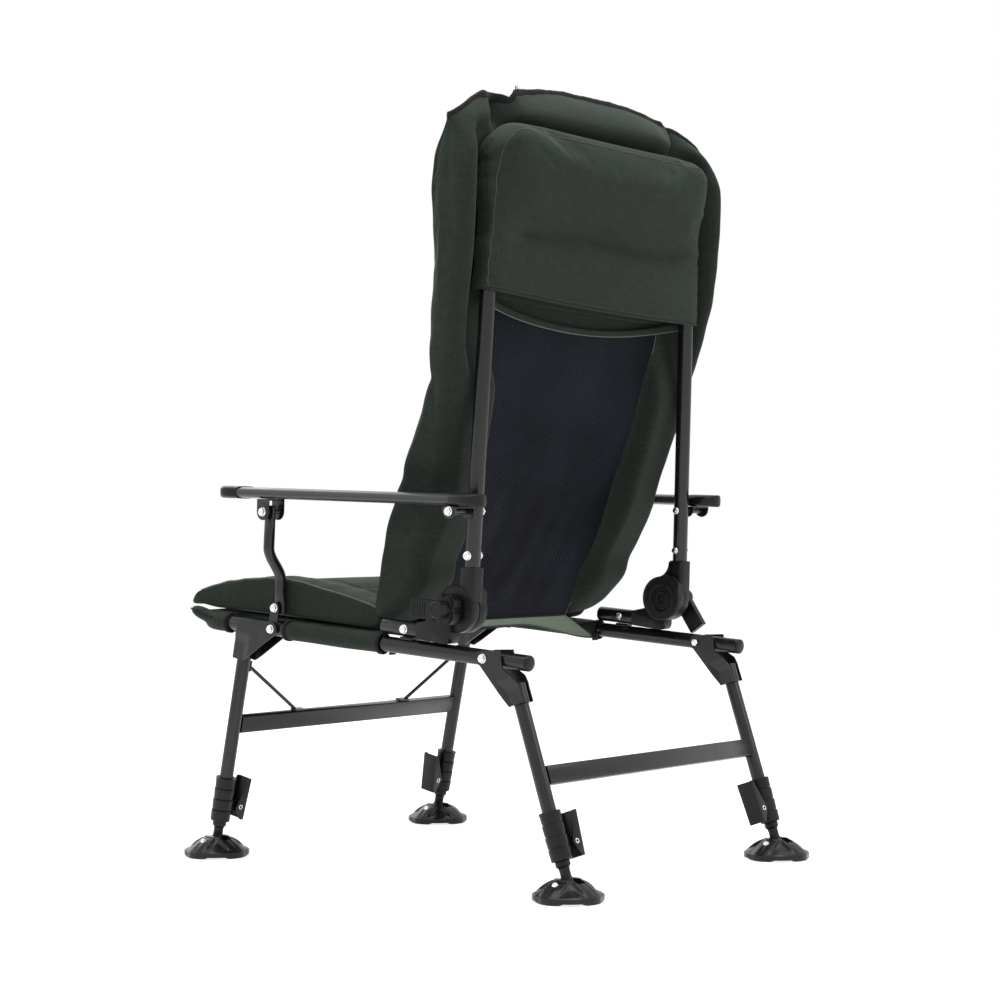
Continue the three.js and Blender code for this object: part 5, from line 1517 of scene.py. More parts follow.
def leg_pairs() -> tuple[LegPair, LegPair]:
    """The two pairs, with their brackets' outlines in reach towards the seat's middle and rise up the leg."""

    def pivot(where: Turned, along: float, sign: float) -> tuple[float, float]:
        """A rail's pivot in the legs' own frame."""
        _, y, z = np.array(PLAN.seat.place(-along, 0.0)) - np.array(where.origin)
        c, s = math.cos(math.radians(where.degrees)), math.sin(math.radians(where.degrees))
        return (sign * (y * c + z * s), -y * s + z * c)

    front = LegPair(
        "front", PLAN.front_legs, pivot(PLAN.front_legs, PLAN.front_pivot_along, 1.0), 312.0,
        ((279.0, -11.6), (300.0, -12.0), (318.0, -11.0), (337.0, -7.0)), 279.0, 1.0,
    )
    rear = LegPair(
        "rear", PLAN.rear_legs, pivot(PLAN.rear_legs, PLAN.rear_pivot_along, -1.0), 274.0,
        ((246.0, -11.6), (272.0, -11.0), (284.0, -7.0), (297.0, 4.6), (322.0, 1.0)), 246.0, -1.0,
    )
    return front, rear


# Cloth


@dataclass
class Sling:
    """The seat's sling: a sagging sheet sewn to sleeves round the rails and the front of the frame."""

    rear: float = 262.0
    gap_start: float = 447.0
    gap_end: float = 561.0
    front: float = 627.0
    sag: float = 8.0
    thickness: float = 1.8
    sleeve: float = 13.1

    def sheet(self) -> Shell:
        """The sheet between the rails, which falls by the sag times (1 - u squared) times a sine along it."""
        across = np.linspace(-1, 1, 61)
        part = np.linspace(0, 1, 61)[:, None]
        along = self.rear + (self.front - 6 - self.rear) * part
        in_gap = smoothstep(along, self.gap_start - 8, self.gap_start)
        in_gap = in_gap * (1 - smoothstep(along, self.gap_end, self.gap_end + 8))
        half = PLAN.rail_x - 2 - 25.5 * in_gap
        x = half * across[None, :]
        drop = self.sag * (1 - across[None, :] ** 2) * np.sin(math.pi * part)
        z = self.sleeve + 0.5 - drop + 0.7 * ripple(xyz(x, -along, 0.0), 90.0, 5)
        return grid(xyz(x, -along, z), together(x, along))

    def sleeve_shell(self, start: float, end: float, sign: float) -> Shell:
        """A sleeve round a rail: a loop whose underside hangs a little and whose folds run along it."""
        turn = full_turn(48)[None, :]
        along = np.linspace(start, end, 50)[:, None]
        slack = 0.9 * np.clip(-np.sin(turn), 0, 1) ** 2 * (1 + 0.4 * np.sin(along / 23.0))
        reach = self.sleeve + slack + 0.25 * np.sin(3 * turn + along / 31.0)
        x = sign * (PLAN.rail_x + reach * np.cos(turn))
        z = reach * np.sin(turn)
        return grid(xyz(x, -along, z), together(self.sleeve * turn, along))

    def front_sleeve(self) -> Shell:
        """The sleeve round the frame's front, along the bent tube, with a pinched, hanging corner."""
        line = SeatFrame().line(self.gap_end)
        along = np.linspace(0, lengths(line)[-1], 120)
        path = at_lengths(line, along)
        ahead = unit(np.gradient(path, axis=0))
        outward = np.cross(np.array([0.0, 0.0, 1.0]), ahead)
        turn = full_turn(48)
        corner = hump(np.minimum(along, along[-1] - along), 55.0, 11.0)[:, None]
        hang = corner * 24.0 * np.clip(np.cos(turn - 0.42), 0, 1) ** 10
        slack = 1.2 * np.clip(-np.sin(turn), 0, 1) ** 2 + hang
        reach = self.sleeve + slack
        points = path[:, None] + outward[:, None] * (reach * np.cos(turn))[..., None]
        points = points + np.array([0.0, 0.0, 1.0]) * (reach * np.sin(turn))[..., None]
        return grid(points, together(self.sleeve * turn[None, :], along[:, None]))

    def hem(self, along: float, sign: float) -> Shell:
        """The black tape round a sleeve's end: a band one millimetre proud of the sleeve."""
        turn = full_turn(48)[None, :]
        across = np.array([-3.2, -3.2, -2.6, 2.6, 3.2, 3.2])[:, None]
        proud = np.array([0.2, 1.3, 1.7, 1.7, 1.3, 0.2])[:, None]
        slack = 0.9 * np.clip(-np.sin(turn), 0, 1) ** 2
        reach = self.sleeve + slack + proud
        x = sign * (PLAN.rail_x + reach * np.cos(turn))
        return grid(xyz(x, -(along + across), reach * np.sin(turn)))

    def build(self) -> None:
        parts = []
        places = (self.rear, self.gap_start - 3.6, self.gap_end + 3.6)
        for side in SIDES:
            sleeve = self.sleeve_shell(self.rear, self.gap_start, side.sign).moved(PLAN.seat)
            piece = put(side.of("sling_sleeve"), [sleeve], CLOTH, "base", sharp=None)
            add_thickness(piece, self.thickness)
            hems = [self.hem(at, side.sign).moved(PLAN.seat) for at in places]
            parts += [piece, put(side.of("sling_hems"), hems, TAPE, "base")]
        sleeve = self.front_sleeve().moved(PLAN.seat)
        front = put("sling_front_sleeve", [sleeve], CLOTH, "base", sharp=None)
        add_thickness(front, self.thickness)
        ridge = sleeve.points.reshape(120, 49, 3)[:, 3]
        left = int(np.argmax(ridge[:60, 0] - ridge[:60, 1]))
        right = int(np.argmax(-ridge[60:, 0] - ridge[60:, 1])) + 60
        tips = [cord_line(ridge[at - 5:at + 6], 1.7) for at in (left, right)]
        parts.append(put("sling_corner_tape", tips, TAPE, "base", sharp=None))
        cloth = self.sheet().moved(PLAN.seat)
        sheet = put("sling_sheet", [cloth], CLOTH, "base", ("seat_sling",), sharp=None)
        add_thickness(sheet, self.thickness)


@dataclass
class SeatPad:
    """The quilted seat cushion: three channels, a boxed edge with piping, and a rolled front."""

    half_width: float = 246.0
    rear: float = 281.0
    front: float = 657.0
    seat: float = 15.4
    crown: float = 79.0
    edge_power: float = 11.0
    channel: float = 0.6
    top_rows: tuple[tuple[float, float], ...] = (
        (0, 0.56), (0.06, 0.62), (0.25, 0.84), (0.5, 1.02), (0.64, 0.94), (0.88, 0.64), (0.96, 0.44),
        (1, 0.33),
    )
    width_rows: tuple[tuple[float, float], ...] = (
        (0, 0.97), (0.05, 0.99), (0.3, 1.0), (0.85, 1.0), (0.97, 0.995), (1, 0.985),
    )

    def lane(self, u: Array, v: Array) -> Array:
        """How near a place is to a sewn line: the two channels, and two cross seams between them."""
        ends = smoothstep(v, 0.02, 0.1) * (1 - smoothstep(v, 0.93, 1.0))
        channels = hump(np.abs(u), self.channel, 0.028) * ends
        cross = (hump(v, 0.34, 0.02) + hump(v, 0.68, 0.02)) * (1 - smoothstep(np.abs(u), 0.56, 0.6))
        return np.maximum(channels, 0.7 * cross)

    def surface(self, top: bool) -> tuple[Shell, Array]:
        """The top or the underside over a grid of places across and along.

        The height is the middle plus or minus half the thickness times (1 - |u|^n)^(1/n) across and a
        like term along, so both surfaces meet in one edge. The top also crowns between its sewn lines.

        Args:
            top: The top surface, or else the underside.

        Returns:
            The surface, and for each point the pair of places across and along with the side.
        """
        u = crowded(self.edge_power, 0.97, 11, 42)
        ends = 0.045 * (1 - np.sin(np.linspace(math.pi / 2, 0, 8)))
        v = np.concatenate([ends, np.linspace(0.045, 0.955, 58)[1:-1], 1 - ends[::-1]])[:, None]
        across = dome(u, self.edge_power)
        near_end = np.clip(1 - np.minimum(v, 1 - v) / 0.045, 0, 1)
        along_fall = np.sqrt(1 - near_end**2)
        high = self.seat + (self.crown - self.seat) * through(self.top_rows, v)
        tuck = 4.0 * smoothstep(v, 0.86, 0.96) - 6.0 * smoothstep(v, 0.96, 1.0)
        low = self.seat + tuck
        middle = low + (high - low) * 0.42
        crown = -13.0 * (1 - np.abs(u) ** 3) * np.sin(math.pi * v) ** 0.6
        face = high + crown if top else low
        z = middle + (face - middle) * across * along_fall
        if top:
            z = z - 9.0 * self.lane(u, v) * across * along_fall
        x = self.half_width * through(self.width_rows, v) * u
        y = -(self.rear + (self.front - self.rear) * v)
        places = together(u, v, 1.0 if top else -1.0)
        return grid(xyz(x, y, z), together(x, y)), places.reshape(-1, 3)

    def build(self) -> None:
        """Makes the cushion, swells it, sews it and adds its piping."""
        (top, top_places), (under, under_places) = self.surface(True), self.surface(False)
        mesh, first = mesh_of("seat_cushion", [top, under])
        u, v, side = np.vstack([top_places, under_places])[first].T
        piece = add_object("seat_cushion", mesh)
        dress(piece, CLOTH)
        sewn = self.lane(u, v)
        held = (side < 0) | (sewn > 0.6) | (np.abs(u) > 0.995)
        cap = 6.0 * (1 - sewn) * (1 - smoothstep(np.abs(u), 0.86, 0.97)) * smoothstep(v, 0.0, 0.12)
        swell(piece, held, cap)
        points = coordinates(mesh)
        folds = 1.3 * ripple(points * np.array([1.0, 1.6, 1.0]), 62.0, 11) * smoothstep(np.abs(u), 0.3, 0.9)
        pucker = 1.1 * sewn * np.sin(points[:, 1] / 2.6) * (side > 0)
        points[:, 2] += (folds + pucker) * (side > 0)
        points[:, 0] += 1.6 * ripple(points, 48.0, 3) * smoothstep(np.abs(u), 0.97, 1.0)
        points[:, 0] = np.clip(points[:, 0], -self.half_width + 1.0, self.half_width - 1.0)
        set_coordinates(mesh, PLAN.seat.world(points))
        settle_smooth(piece)
        finish_piece(piece, "base", ("seat_pad",))
        self.piping(piece)

    def piping(self, piece: bpy.types.Object) -> None:
        """Pale piping along the cushion's upper edge, set on the finished surface. Its paleness is partly a
        painted highlight along that edge.
        """
        v = np.linspace(0.03, 0.965, 130)
        for side in SIDES:
            x = side.sign * self.half_width * through(self.width_rows, v) * 0.983
            high = self.seat + (self.crown - self.seat) * through(self.top_rows, v) + 30.0
            start = PLAN.seat.world(xyz(x, -(self.rear + (self.front - self.rear) * v), high))
            path = drop_on(piece, start, (0.0, 0.0, -1.0))
            # Partly painted highlight: the pale cord marks where the cushion's edge catches light.
            put(side.of("seat_piping_and_highlight"), [cord_line(path, 1.35, 10)], PIPING_AND_PAINTED_HIGHLIGHT, "base", sharp=None)


def settle_smooth(piece: bpy.types.Object) -> None:
    """Subdivides a piece once and applies it."""
    add_smoothing(piece)
    settle(piece)
    shade_smooth(piece.data)


def drop_on(piece: bpy.types.Object, starts: Array, direction: tuple[float, float, float]) -> Array:
    """The first place where a ray from each start meets the piece, for the rays that meet it."""
    ahead = Vector(direction)
    hits = (piece.ray_cast(Vector(start * METRES), ahead) for start in starts)
    return np.array([place for hit, place, _, _ in hits if hit]) / METRES


@dataclass
class BackPlan:
    """The back cushion's tables: by share of its height, shares of its reach or of its half width."""

    bottom: float = -14.0
    height: float = 747.5
    half_width: float = 289.0
    reach: float = 100.0
    front_rows: tuple[tuple[float, float], ...] = (
        (0, -1.64), (0.1, -1.46), (0.18, -1.27), (0.28, -0.94), (0.33, -0.7), (0.4, -0.4), (0.44, -0.29),
        (0.56, -0.22), (0.68, -0.19), (0.78, -0.19), (0.86, -0.09), (0.93, 0.04), (1, 0.16),
    )
    mesh_rows: tuple[tuple[float, float], ...] = (
        (0, -1.31), (0.025, -1.22), (0.08, -1.04), (0.13, -0.83), (0.215, -0.57), (0.29, -0.38),
        (0.36, -0.21), (0.45, -0.04), (0.55, 0.12), (0.68, 0.24), (0.8, 0.29), (0.9, 0.31), (1, 0.3),
    )
    wing_rows: tuple[tuple[float, float], ...] = (
        (0, 0.05), (0.03, 0.22), (0.07, 0.39), (0.11, 0.31), (0.22, 0.4), (0.36, 0.33), (0.45, 0.33),
        (0.55, 0.39), (0.65, 0.47), (0.8, 0.53), (0.88, 0.47), (0.94, 0.33), (1, 0.1),
    )
    width_rows: tuple[tuple[float, float], ...] = (
        (0, 0.845), (0.1, 0.872), (0.18, 0.885), (0.25, 0.888), (0.3, 0.92), (0.33, 0.935), (0.4, 0.958),
        (0.44, 0.965), (0.5, 0.985), (0.68, 0.995), (0.8, 1.0), (0.9, 0.99), (1, 0.965),
    )

    @property
    def hinge(self) -> Turned:
        """An upright frame at the recline hinge."""
        return Turned(PLAN.back.origin, 0.0)

    def rear_line(self, rise: Array) -> Array:
        """The depth of the cushion's flat rear face at a rise above the hinge."""
        return self.reach * through(self.mesh_rows, (rise - self.bottom) / self.height)


BACK = BackPlan()


@dataclass
class BackPad:
    """The high quilted back cushion with boxy wings, pinched channels and a lumbar crease."""

    channel: float = 0.585
    pinch: float = 0.64
    crease: float = 0.44
    neck: float = 0.765
    power: float = 13.0
    rounding: float = 17.0

    def top_at(self, u: Array) -> Array:
        """The height across: level in the middle, pinched at the channels, and rounded off the wings."""
        place, far = np.abs(u - 0.015), u < 0
        wing = smoothstep(place, self.pinch - 0.012, self.pinch + 0.025)
        part = np.clip((place - self.pinch) / (0.985 - self.pinch), 0, 1)
        fall = wing * (17.0 - 7.0 * far + (42.0 - 4.0 * far) * np.clip((part - 0.42) / 0.58, 0, 1) ** 1.25)
        pinch = 10.0 * hump(place, self.pinch + 0.006, 0.017)
        shoulder = (9.0 - 1.0 * far) * smoothstep(place, 0.2, self.pinch) ** 1.6 * (1 - wing)
        return BACK.height - 14.0 - fall * 0.85 - pinch - shoulder + 2.0 * np.cos(math.pi * place) + 3.0 * u

    def lane(self, u: Array, s: Array) -> Array:
        """How near a place is to a sewn line: two channels, the lumbar crease, and seams above and below."""
        high = smoothstep(s, 0.74, 0.96)
        channels = hump(np.abs(u - 0.015 * high), self.channel + (self.pinch - self.channel) * high, 0.024)
        lumbar = hump(s, self.crease, 0.010) * (1 - 0.85 * smoothstep(np.abs(u), 0.8, 0.97))
        neck = hump(s, self.neck, 0.009) * (1 - smoothstep(np.abs(u), self.channel - 0.02, self.channel))
        low = hump(s, 0.19, 0.010) * (1 - smoothstep(np.abs(u), self.channel - 0.02, self.channel))
        return np.maximum(np.maximum(channels, lumbar), 0.9 * np.maximum(neck, low))

    def faces(self, u: Array, v: Array) -> tuple[Array, Array, Array, Array]:
        """Front and rear depths, the height and its share, over places across and up.

        The front follows its table, sinks at each sewn line and crowns between them. The rear follows the
        mesh panel's line, and the wings stand behind it from the tube outwards, with a rounded outer edge.
        """
        height = self.top_at(u) * v
        s = height / BACK.height
        front = BACK.reach * through(BACK.front_rows, s)
        rear = BACK.reach * through(BACK.mesh_rows, s) - 0.6
        narrower = np.where(u > 0, 0.4, -0.12) * smoothstep(s, 0.42, 0.6)
        wing = BACK.reach * through(BACK.wing_rows, s) * (1 - narrower)
        high = smoothstep(s, 0.4, 0.55)
        above_hood = smoothstep(s, 0.892, 0.926)
        low_start = smoothstep(np.abs(u), 0.645, 0.7)
        start = 0.872 - 0.2 * above_hood
        high_start = smoothstep(np.abs(u) - start, 0.0, 0.085 + 0.2 * above_hood)
        rear = rear + wing * (low_start * (1 - high) + high_start * high)
        valley = 15.0 * hump(np.abs(u), 0.71, 0.028) * above_hood
        plump = 46.0 * above_hood * np.clip(1 - (np.abs(u) / (self.pinch + 0.065)) ** 10, 0, 1)
        roll = np.where(u > 0, 0.085, 0.065)
        turn_in = np.clip((np.abs(u) - 1 + roll) / roll, 0, 1)
        rear = rear - valley + plump - self.rounding * roll / 0.065 * (1 - np.sqrt(1 - turn_in**2))
        lane = self.lane(u, s)
        crown = 5.0 * (1 - lane) * smoothstep(s, 0.08, 0.2)
        front = front + (9.0 + 9.0 * smoothstep(s, 0.85, 1.0)) * lane - crown
        return front, rear, height, s

    def surface(self, is_front: bool) -> tuple[Shell, Array]:
        """The front or the rear over a grid of places across and up, both drawn to one edge.

        Depth is the middle plus the face's distance from it, times (1 - |u|^n)^(1/n) across and a like
        fall at the top and the bottom. At the top the middle moves to the rear, where the cover is bound.

        Args:
            is_front: The front surface, or else the rear.

        Returns:
            The surface, and for each point its places across and up with the side.
        """
        u = crowded(self.power, 0.955, 15, 48)
        fall = 1 - np.sin(np.linspace(math.pi / 2, 0, 9))
        v = np.concatenate([0.03 * fall, np.linspace(0.03, 0.92, 104)[1:-1], 1 - 0.08 * fall[::-1]])[:, None]
        front, rear, height, s = self.faces(u, v)
        across = dome(u, self.power)
        top = np.clip(1 - (1 - v) / 0.08, 0, 1)
        bottom = np.clip(1 - v / 0.03, 0, 1)
        along = dome(top, 1.45) * dome(bottom, 2.0)
        rearward = 0.1 * smoothstep(np.abs(u), self.channel, self.pinch) - 0.12 * smoothstep(u, 0.75, 1.0)
        share = 0.5 + rearward * smoothstep(v, 0.87, 0.99)
        middle = front + (rear - front) * share
        face = front if is_front else rear
        y = middle + (face - middle) * across * along
        x = BACK.half_width * through(BACK.width_rows, s) * u
        tail = smoothstep(np.abs(u), 0.66, 0.76) * (1 - np.abs(u) ** 12) * (1 - smoothstep(v, 0.0, 0.1))
        z = BACK.bottom + height - 11.0 * tail
        places = together(u, v, 1.0 if is_front else -1.0)
        return grid(xyz(x, y, z), together(x, z)), places.reshape(-1, 3)

    def build(self) -> None:
        """Makes the cushion, swells it, adds its folds, its binding and its threads."""
        (near, near_places), (far, far_places) = self.surface(True), self.surface(False)
        mesh, first = mesh_of("back_cushion", [near, far])
        u, v, side = np.vstack([near_places, far_places])[first].T
        piece = add_object("back_cushion", mesh)
        dress(piece, CLOTH)
        s = self.top_at(u) * v / BACK.height
        sewn = self.lane(u, s) * (side > 0)
        backed = (side < 0) & (np.abs(u) < 0.93) & (s < 0.93)
        held = backed | (sewn > 0.6) | (v > 0.999) | (v < 0.02)
        firm = 0.85 * smoothstep(np.abs(u), 0.93, 1.0) * (s < 0.3)
        room = (1 - sewn) * smoothstep(s, 0.1, 0.25) * (1 - firm)
        swell(piece, held, np.where(side > 0, 10.0, 6.0) * room)
        points = coordinates(mesh)
        limit = BACK.half_width * through(BACK.width_rows, s) + 1.0
        points[:, 0] = np.clip(points[:, 0], -limit, limit)
        points += self.folds(points, u, s, side)
        set_coordinates(mesh, BACK.hinge.world(points))
        edge = self.top_edge(mesh, u, v)
        settle_smooth(piece)
        finish_piece(piece, None, ("back_pad",))
        blend_back(piece)
        self.binding(edge)

    def folds(self, points: Array, u: Array, s: Array, side: Array) -> Array:
        """Moves that crease the cover: gathers along the seams, drag lines at the crease, and dents."""
        outer = smoothstep(np.abs(u), 0.9, 1.0)
        crease = hump(s, self.crease, 0.012) * outer
        drag = hump(s, 0.25, 0.07) * outer * np.sin((points[:, 2] + 0.8 * points[:, 1]) / 7.0)
        pull = ripple(points * np.array([0.4, 1.0, 1.6]), 60.0, 31) * smoothstep(np.abs(u), 0.7, 0.95)
        dents = ripple(points * np.array([1.0, 1.0, 0.7]), 130.0, 21)
        gathers = ripple(points * np.array([1.0, 0.3, 0.3]), 17.0, 2) * smoothstep(s, 0.955, 1.0)
        puckers = self.lane(u, s) * (side > 0) * 0.9 * np.sin(points[:, 2] / 3.1)
        moves = np.zeros_like(points)
        moves[:, 0] = np.sign(u) * ((1.2 * dents + 1.1 * pull) * outer - 1.0 * crease - 0.9 * drag)
        moves[:, 1] = side * puckers + 1.6 * dents * (side > 0)
        free_rear = (side < 0) & (np.abs(u) > 0.93)
        moves[:, 1] += 2.0 * dents * free_rear + 0.9 * gathers * (side > 0)
        moves[:, 2] += 0.8 * gathers
        return moves

    def top_edge(self, mesh: bpy.types.Mesh, u: Array, v: Array) -> Array:
        """The bound edge at the cushion's top, from the right wing to the left one."""
        edge = np.flatnonzero(v > 0.9995)
        order = edge[np.argsort(u[edge])]
        points = coordinates(mesh)[order]
        return points[np.abs(u[order]) < 0.9999]

    def binding(self, edge: Array) -> None:
        """The black tape over the top edge, gathered at the pinches, with loose threads at the near one."""
        path = at_lengths(edge, np.linspace(0, lengths(edge)[-1], 360))
        path[7:-7, 1] = np.convolve(path[:, 1], np.full(15, 1 / 15), "valid")
        high = 6.4 + 0.6 * ripple(path, 34.0, 5)
        turn = full_turn(16)
        across, rise = np.cos(turn), np.sign(np.sin(turn)) * np.abs(np.sin(turn)) ** 0.6
        wave = 0.7 * ripple(path, 22.0, 9)[:, None]
        tape = path[:, None] + xyz(0.0, 3.0 * across[None] + wave, high[:, None] * rise[None] - 1.4)
        put("top_binding", [slab_ends(tape)], TAPE, "backrest", sharp=None)
        pinch = path[np.argmin(np.abs(path[:, 0] - 178.0))]
        random = np.random.default_rng(8)
        threads = []
        for _ in range(7):
            tip = pinch + np.array([random.uniform(-8, 8), random.uniform(-3, 5), random.uniform(4, 11)])
            middle = (pinch + tip) / 2 + random.uniform(-3, 3, 3)
            t = np.linspace(0, 1, 9)[:, None]
            threads.append(cord_line((1 - t) ** 2 * pinch + 2 * t * (1 - t) * middle + t**2 * tip, 0.45, 6))
        put("loose_threads", threads, TAPE, "backrest", sharp=None)


def slab_ends(rings: Array) -> Shell:
    """Rings joined into a tube, with each end drawn to the middle of its ring."""
    ends = [np.broadcast_to(ring.mean(axis=0), ring.shape) for ring in (rings[0], rings[-1])]
    return grid(np.concatenate([ends[0][None], rings, ends[1][None]]))


def blend_back(piece: bpy.types.Object) -> None:
    """Bakes a piece's place into its mesh, so that it stands where it is without a transform."""
    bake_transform(piece)


@dataclass
class MeshPanel:
    """The mesh panel on the back of the cushion, its seams, and the green band that hangs across its top."""

    bottom: float = -35.0
    top: float = 415.0
    half_width: float = 195.0
    width_rows: tuple[tuple[float, float], ...] = (
        (0, 0.82), (0.1, 0.87), (0.25, 0.915), (0.5, 0.945), (0.75, 0.97), (1, 1.0),
    )

    def depth(self, z: Array) -> Array:
        """The panel's depth at a rise above the hinge: the cushion's rear line, carried on below its foot."""
        low = np.minimum(0.0, z - BACK.bottom)
        return BACK.rear_line(np.maximum(z, BACK.bottom)) + 0.35 * low

    def surface(self, u: Array, v: Array, lift: float) -> Array:
        """Points of the panel: half width times u across, and folds that grow towards its foot."""
        top = self.top - 22.0 + 18.0 * u**2 + 5.5 * u
        z = self.bottom + (top - self.bottom) * v
        x = self.half_width * through(self.width_rows, v) * u
        loose = (1 - smoothstep(v, 0.15, 0.75)) * smoothstep(v, 0.02, 0.14) * (1 - np.abs(u) ** 4)
        folds = 1.5 + 1.5 * np.sin(x / 21.0 + 1.3 * np.sin(z / 70.0)) + 0.8 * np.sin(x / 9.0 + z / 50.0)
        return xyz(x, self.depth(z) + lift + 1.2 * loose * folds, z)

    def build(self) -> None:
        u, v = np.linspace(-1, 1, 81)[None, :], np.linspace(0, 1, 91)[:, None]
        points = self.surface(u, v, 1.0)
        cloth = grid(BACK.hinge.world(points), points[..., ::2])
        panel = put("mesh_panel", [cloth], MESH, None, ("back_mesh_panel",), sharp=None)
        add_thickness(panel, 0.8, 1.0)
        settle(panel)
        rise = np.linspace(0, 1, 120)
        edges = [self.surface(side.sign * np.ones(120), rise, 2.4) for side in SIDES]
        put_blended("mesh_side_seams", [cord_line(BACK.hinge.world(edge), 0.8) for edge in edges], PIPING_AND_PAINTED_HIGHLIGHT)
        low = BACK.hinge.world(self.surface(np.linspace(-1, 1, 90), np.full(90, 0.022), 2.4))
        put_blended("mesh_foot_binding", [cord_line(low, 1.4, 10)], TAPE)
        blend_back(panel)
        self.band()

    def band(self) -> None:
        """The band across the top: its middle hangs below its ends, which reach back to the tubes."""
        half = 236.0
        x = np.linspace(-half, half, 121)
        sag = (np.abs(x) / half) ** 2
        foot = 390.0 + 26.0 * sag + 0.03 * x
        rows = []
        for lift, out in ((-1.5, 1.2), (0.0, 2.0), (3.0, 2.8), (6.0, 2.8), (7.5, 2.0), (5.5, 0.9)):
            rise = foot + lift * (1 + 0.25 * sag)
            depth = BACK.rear_line(rise) + out + 17.0 * sag**3 + 1.6
            rows.append(xyz(x, depth, rise))
        points = np.stack(rows)
        cloth = grid(BACK.hinge.world(points), points[..., ::2])
        band = put("mesh_top_band", [cloth], CLOTH, "backrest", sharp=None)
        add_thickness(band, 0.8, 0.0)
        add_smoothing(band)
        edge = BACK.hinge.world(points[0] + np.array([0.0, 0.6, 0.0]))
        put("mesh_top_piping", [cord_line(edge, 1.0)], PIPING_AND_PAINTED_HIGHLIGHT, "backrest", sharp=None)


def put_blended(name: str, shells: list[Shell], finish: Finish) -> None:
    """Makes a small piece of the back's cloth, with its place baked into its mesh."""
    blend_back(put(name, shells, finish, None, sharp=None))


@dataclass
class RearFlap:
    """The flap from the mesh panel's foot down to the rails, at the sling's rear edge. Its pale green is
    painted light: backlight through thin dark green cloth, and the floor's glow under it.
    """

    def build(self) -> None:
        """Makes the flap: straight lines from the panel's foot to a sagging line between the rails."""
        panel = MeshPanel()
        u = np.linspace(-1, 1, 71)
        high = BACK.hinge.world(panel.surface(u, np.full(71, 0.018), 2.6))
        fall = 342.5 - 27.0 * smoothstep(np.abs(u), 0.2, 1.0)
        low = xyz(238.5 * u, 5.5, fall)
        part = np.linspace(0, 1, 24)[:, None, None]
        points = high[None] + (low - high)[None] * part
        points = points + 0.5 * ripple(points, 70.0, 13)[..., None] * np.array([0.0, 1.0, 0.6])
        # The flap's pale finish is painted light: backlight and floor glow on dark green cloth.
        flap = put("rear_flap", [grid(points, points[..., ::2])], PAINTED_BACKLIT_LINING, None, sharp=None)
        add_thickness(flap, 0.6, 0.0)
        settle(flap)
        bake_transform(flap)
        hem = cord_line(low + np.array([0.0, 0.4, 0.0]), 1.1)
        put("rear_flap_hem", [hem], THREAD_AND_PAINTED_HIGHLIGHT, "base", sharp=None)
        rise = np.array([[311.0], [323.0]])
        for side in SIDES:
            across = side.sign * np.linspace(230, 243, 6)[None, :]
            strap = slab(*(xyz(across, depth, rise) for depth in (6.6, 8.0)))
            put(side.of("rear_flap_strap"), [strap], TAPE, "base", sharp=None)


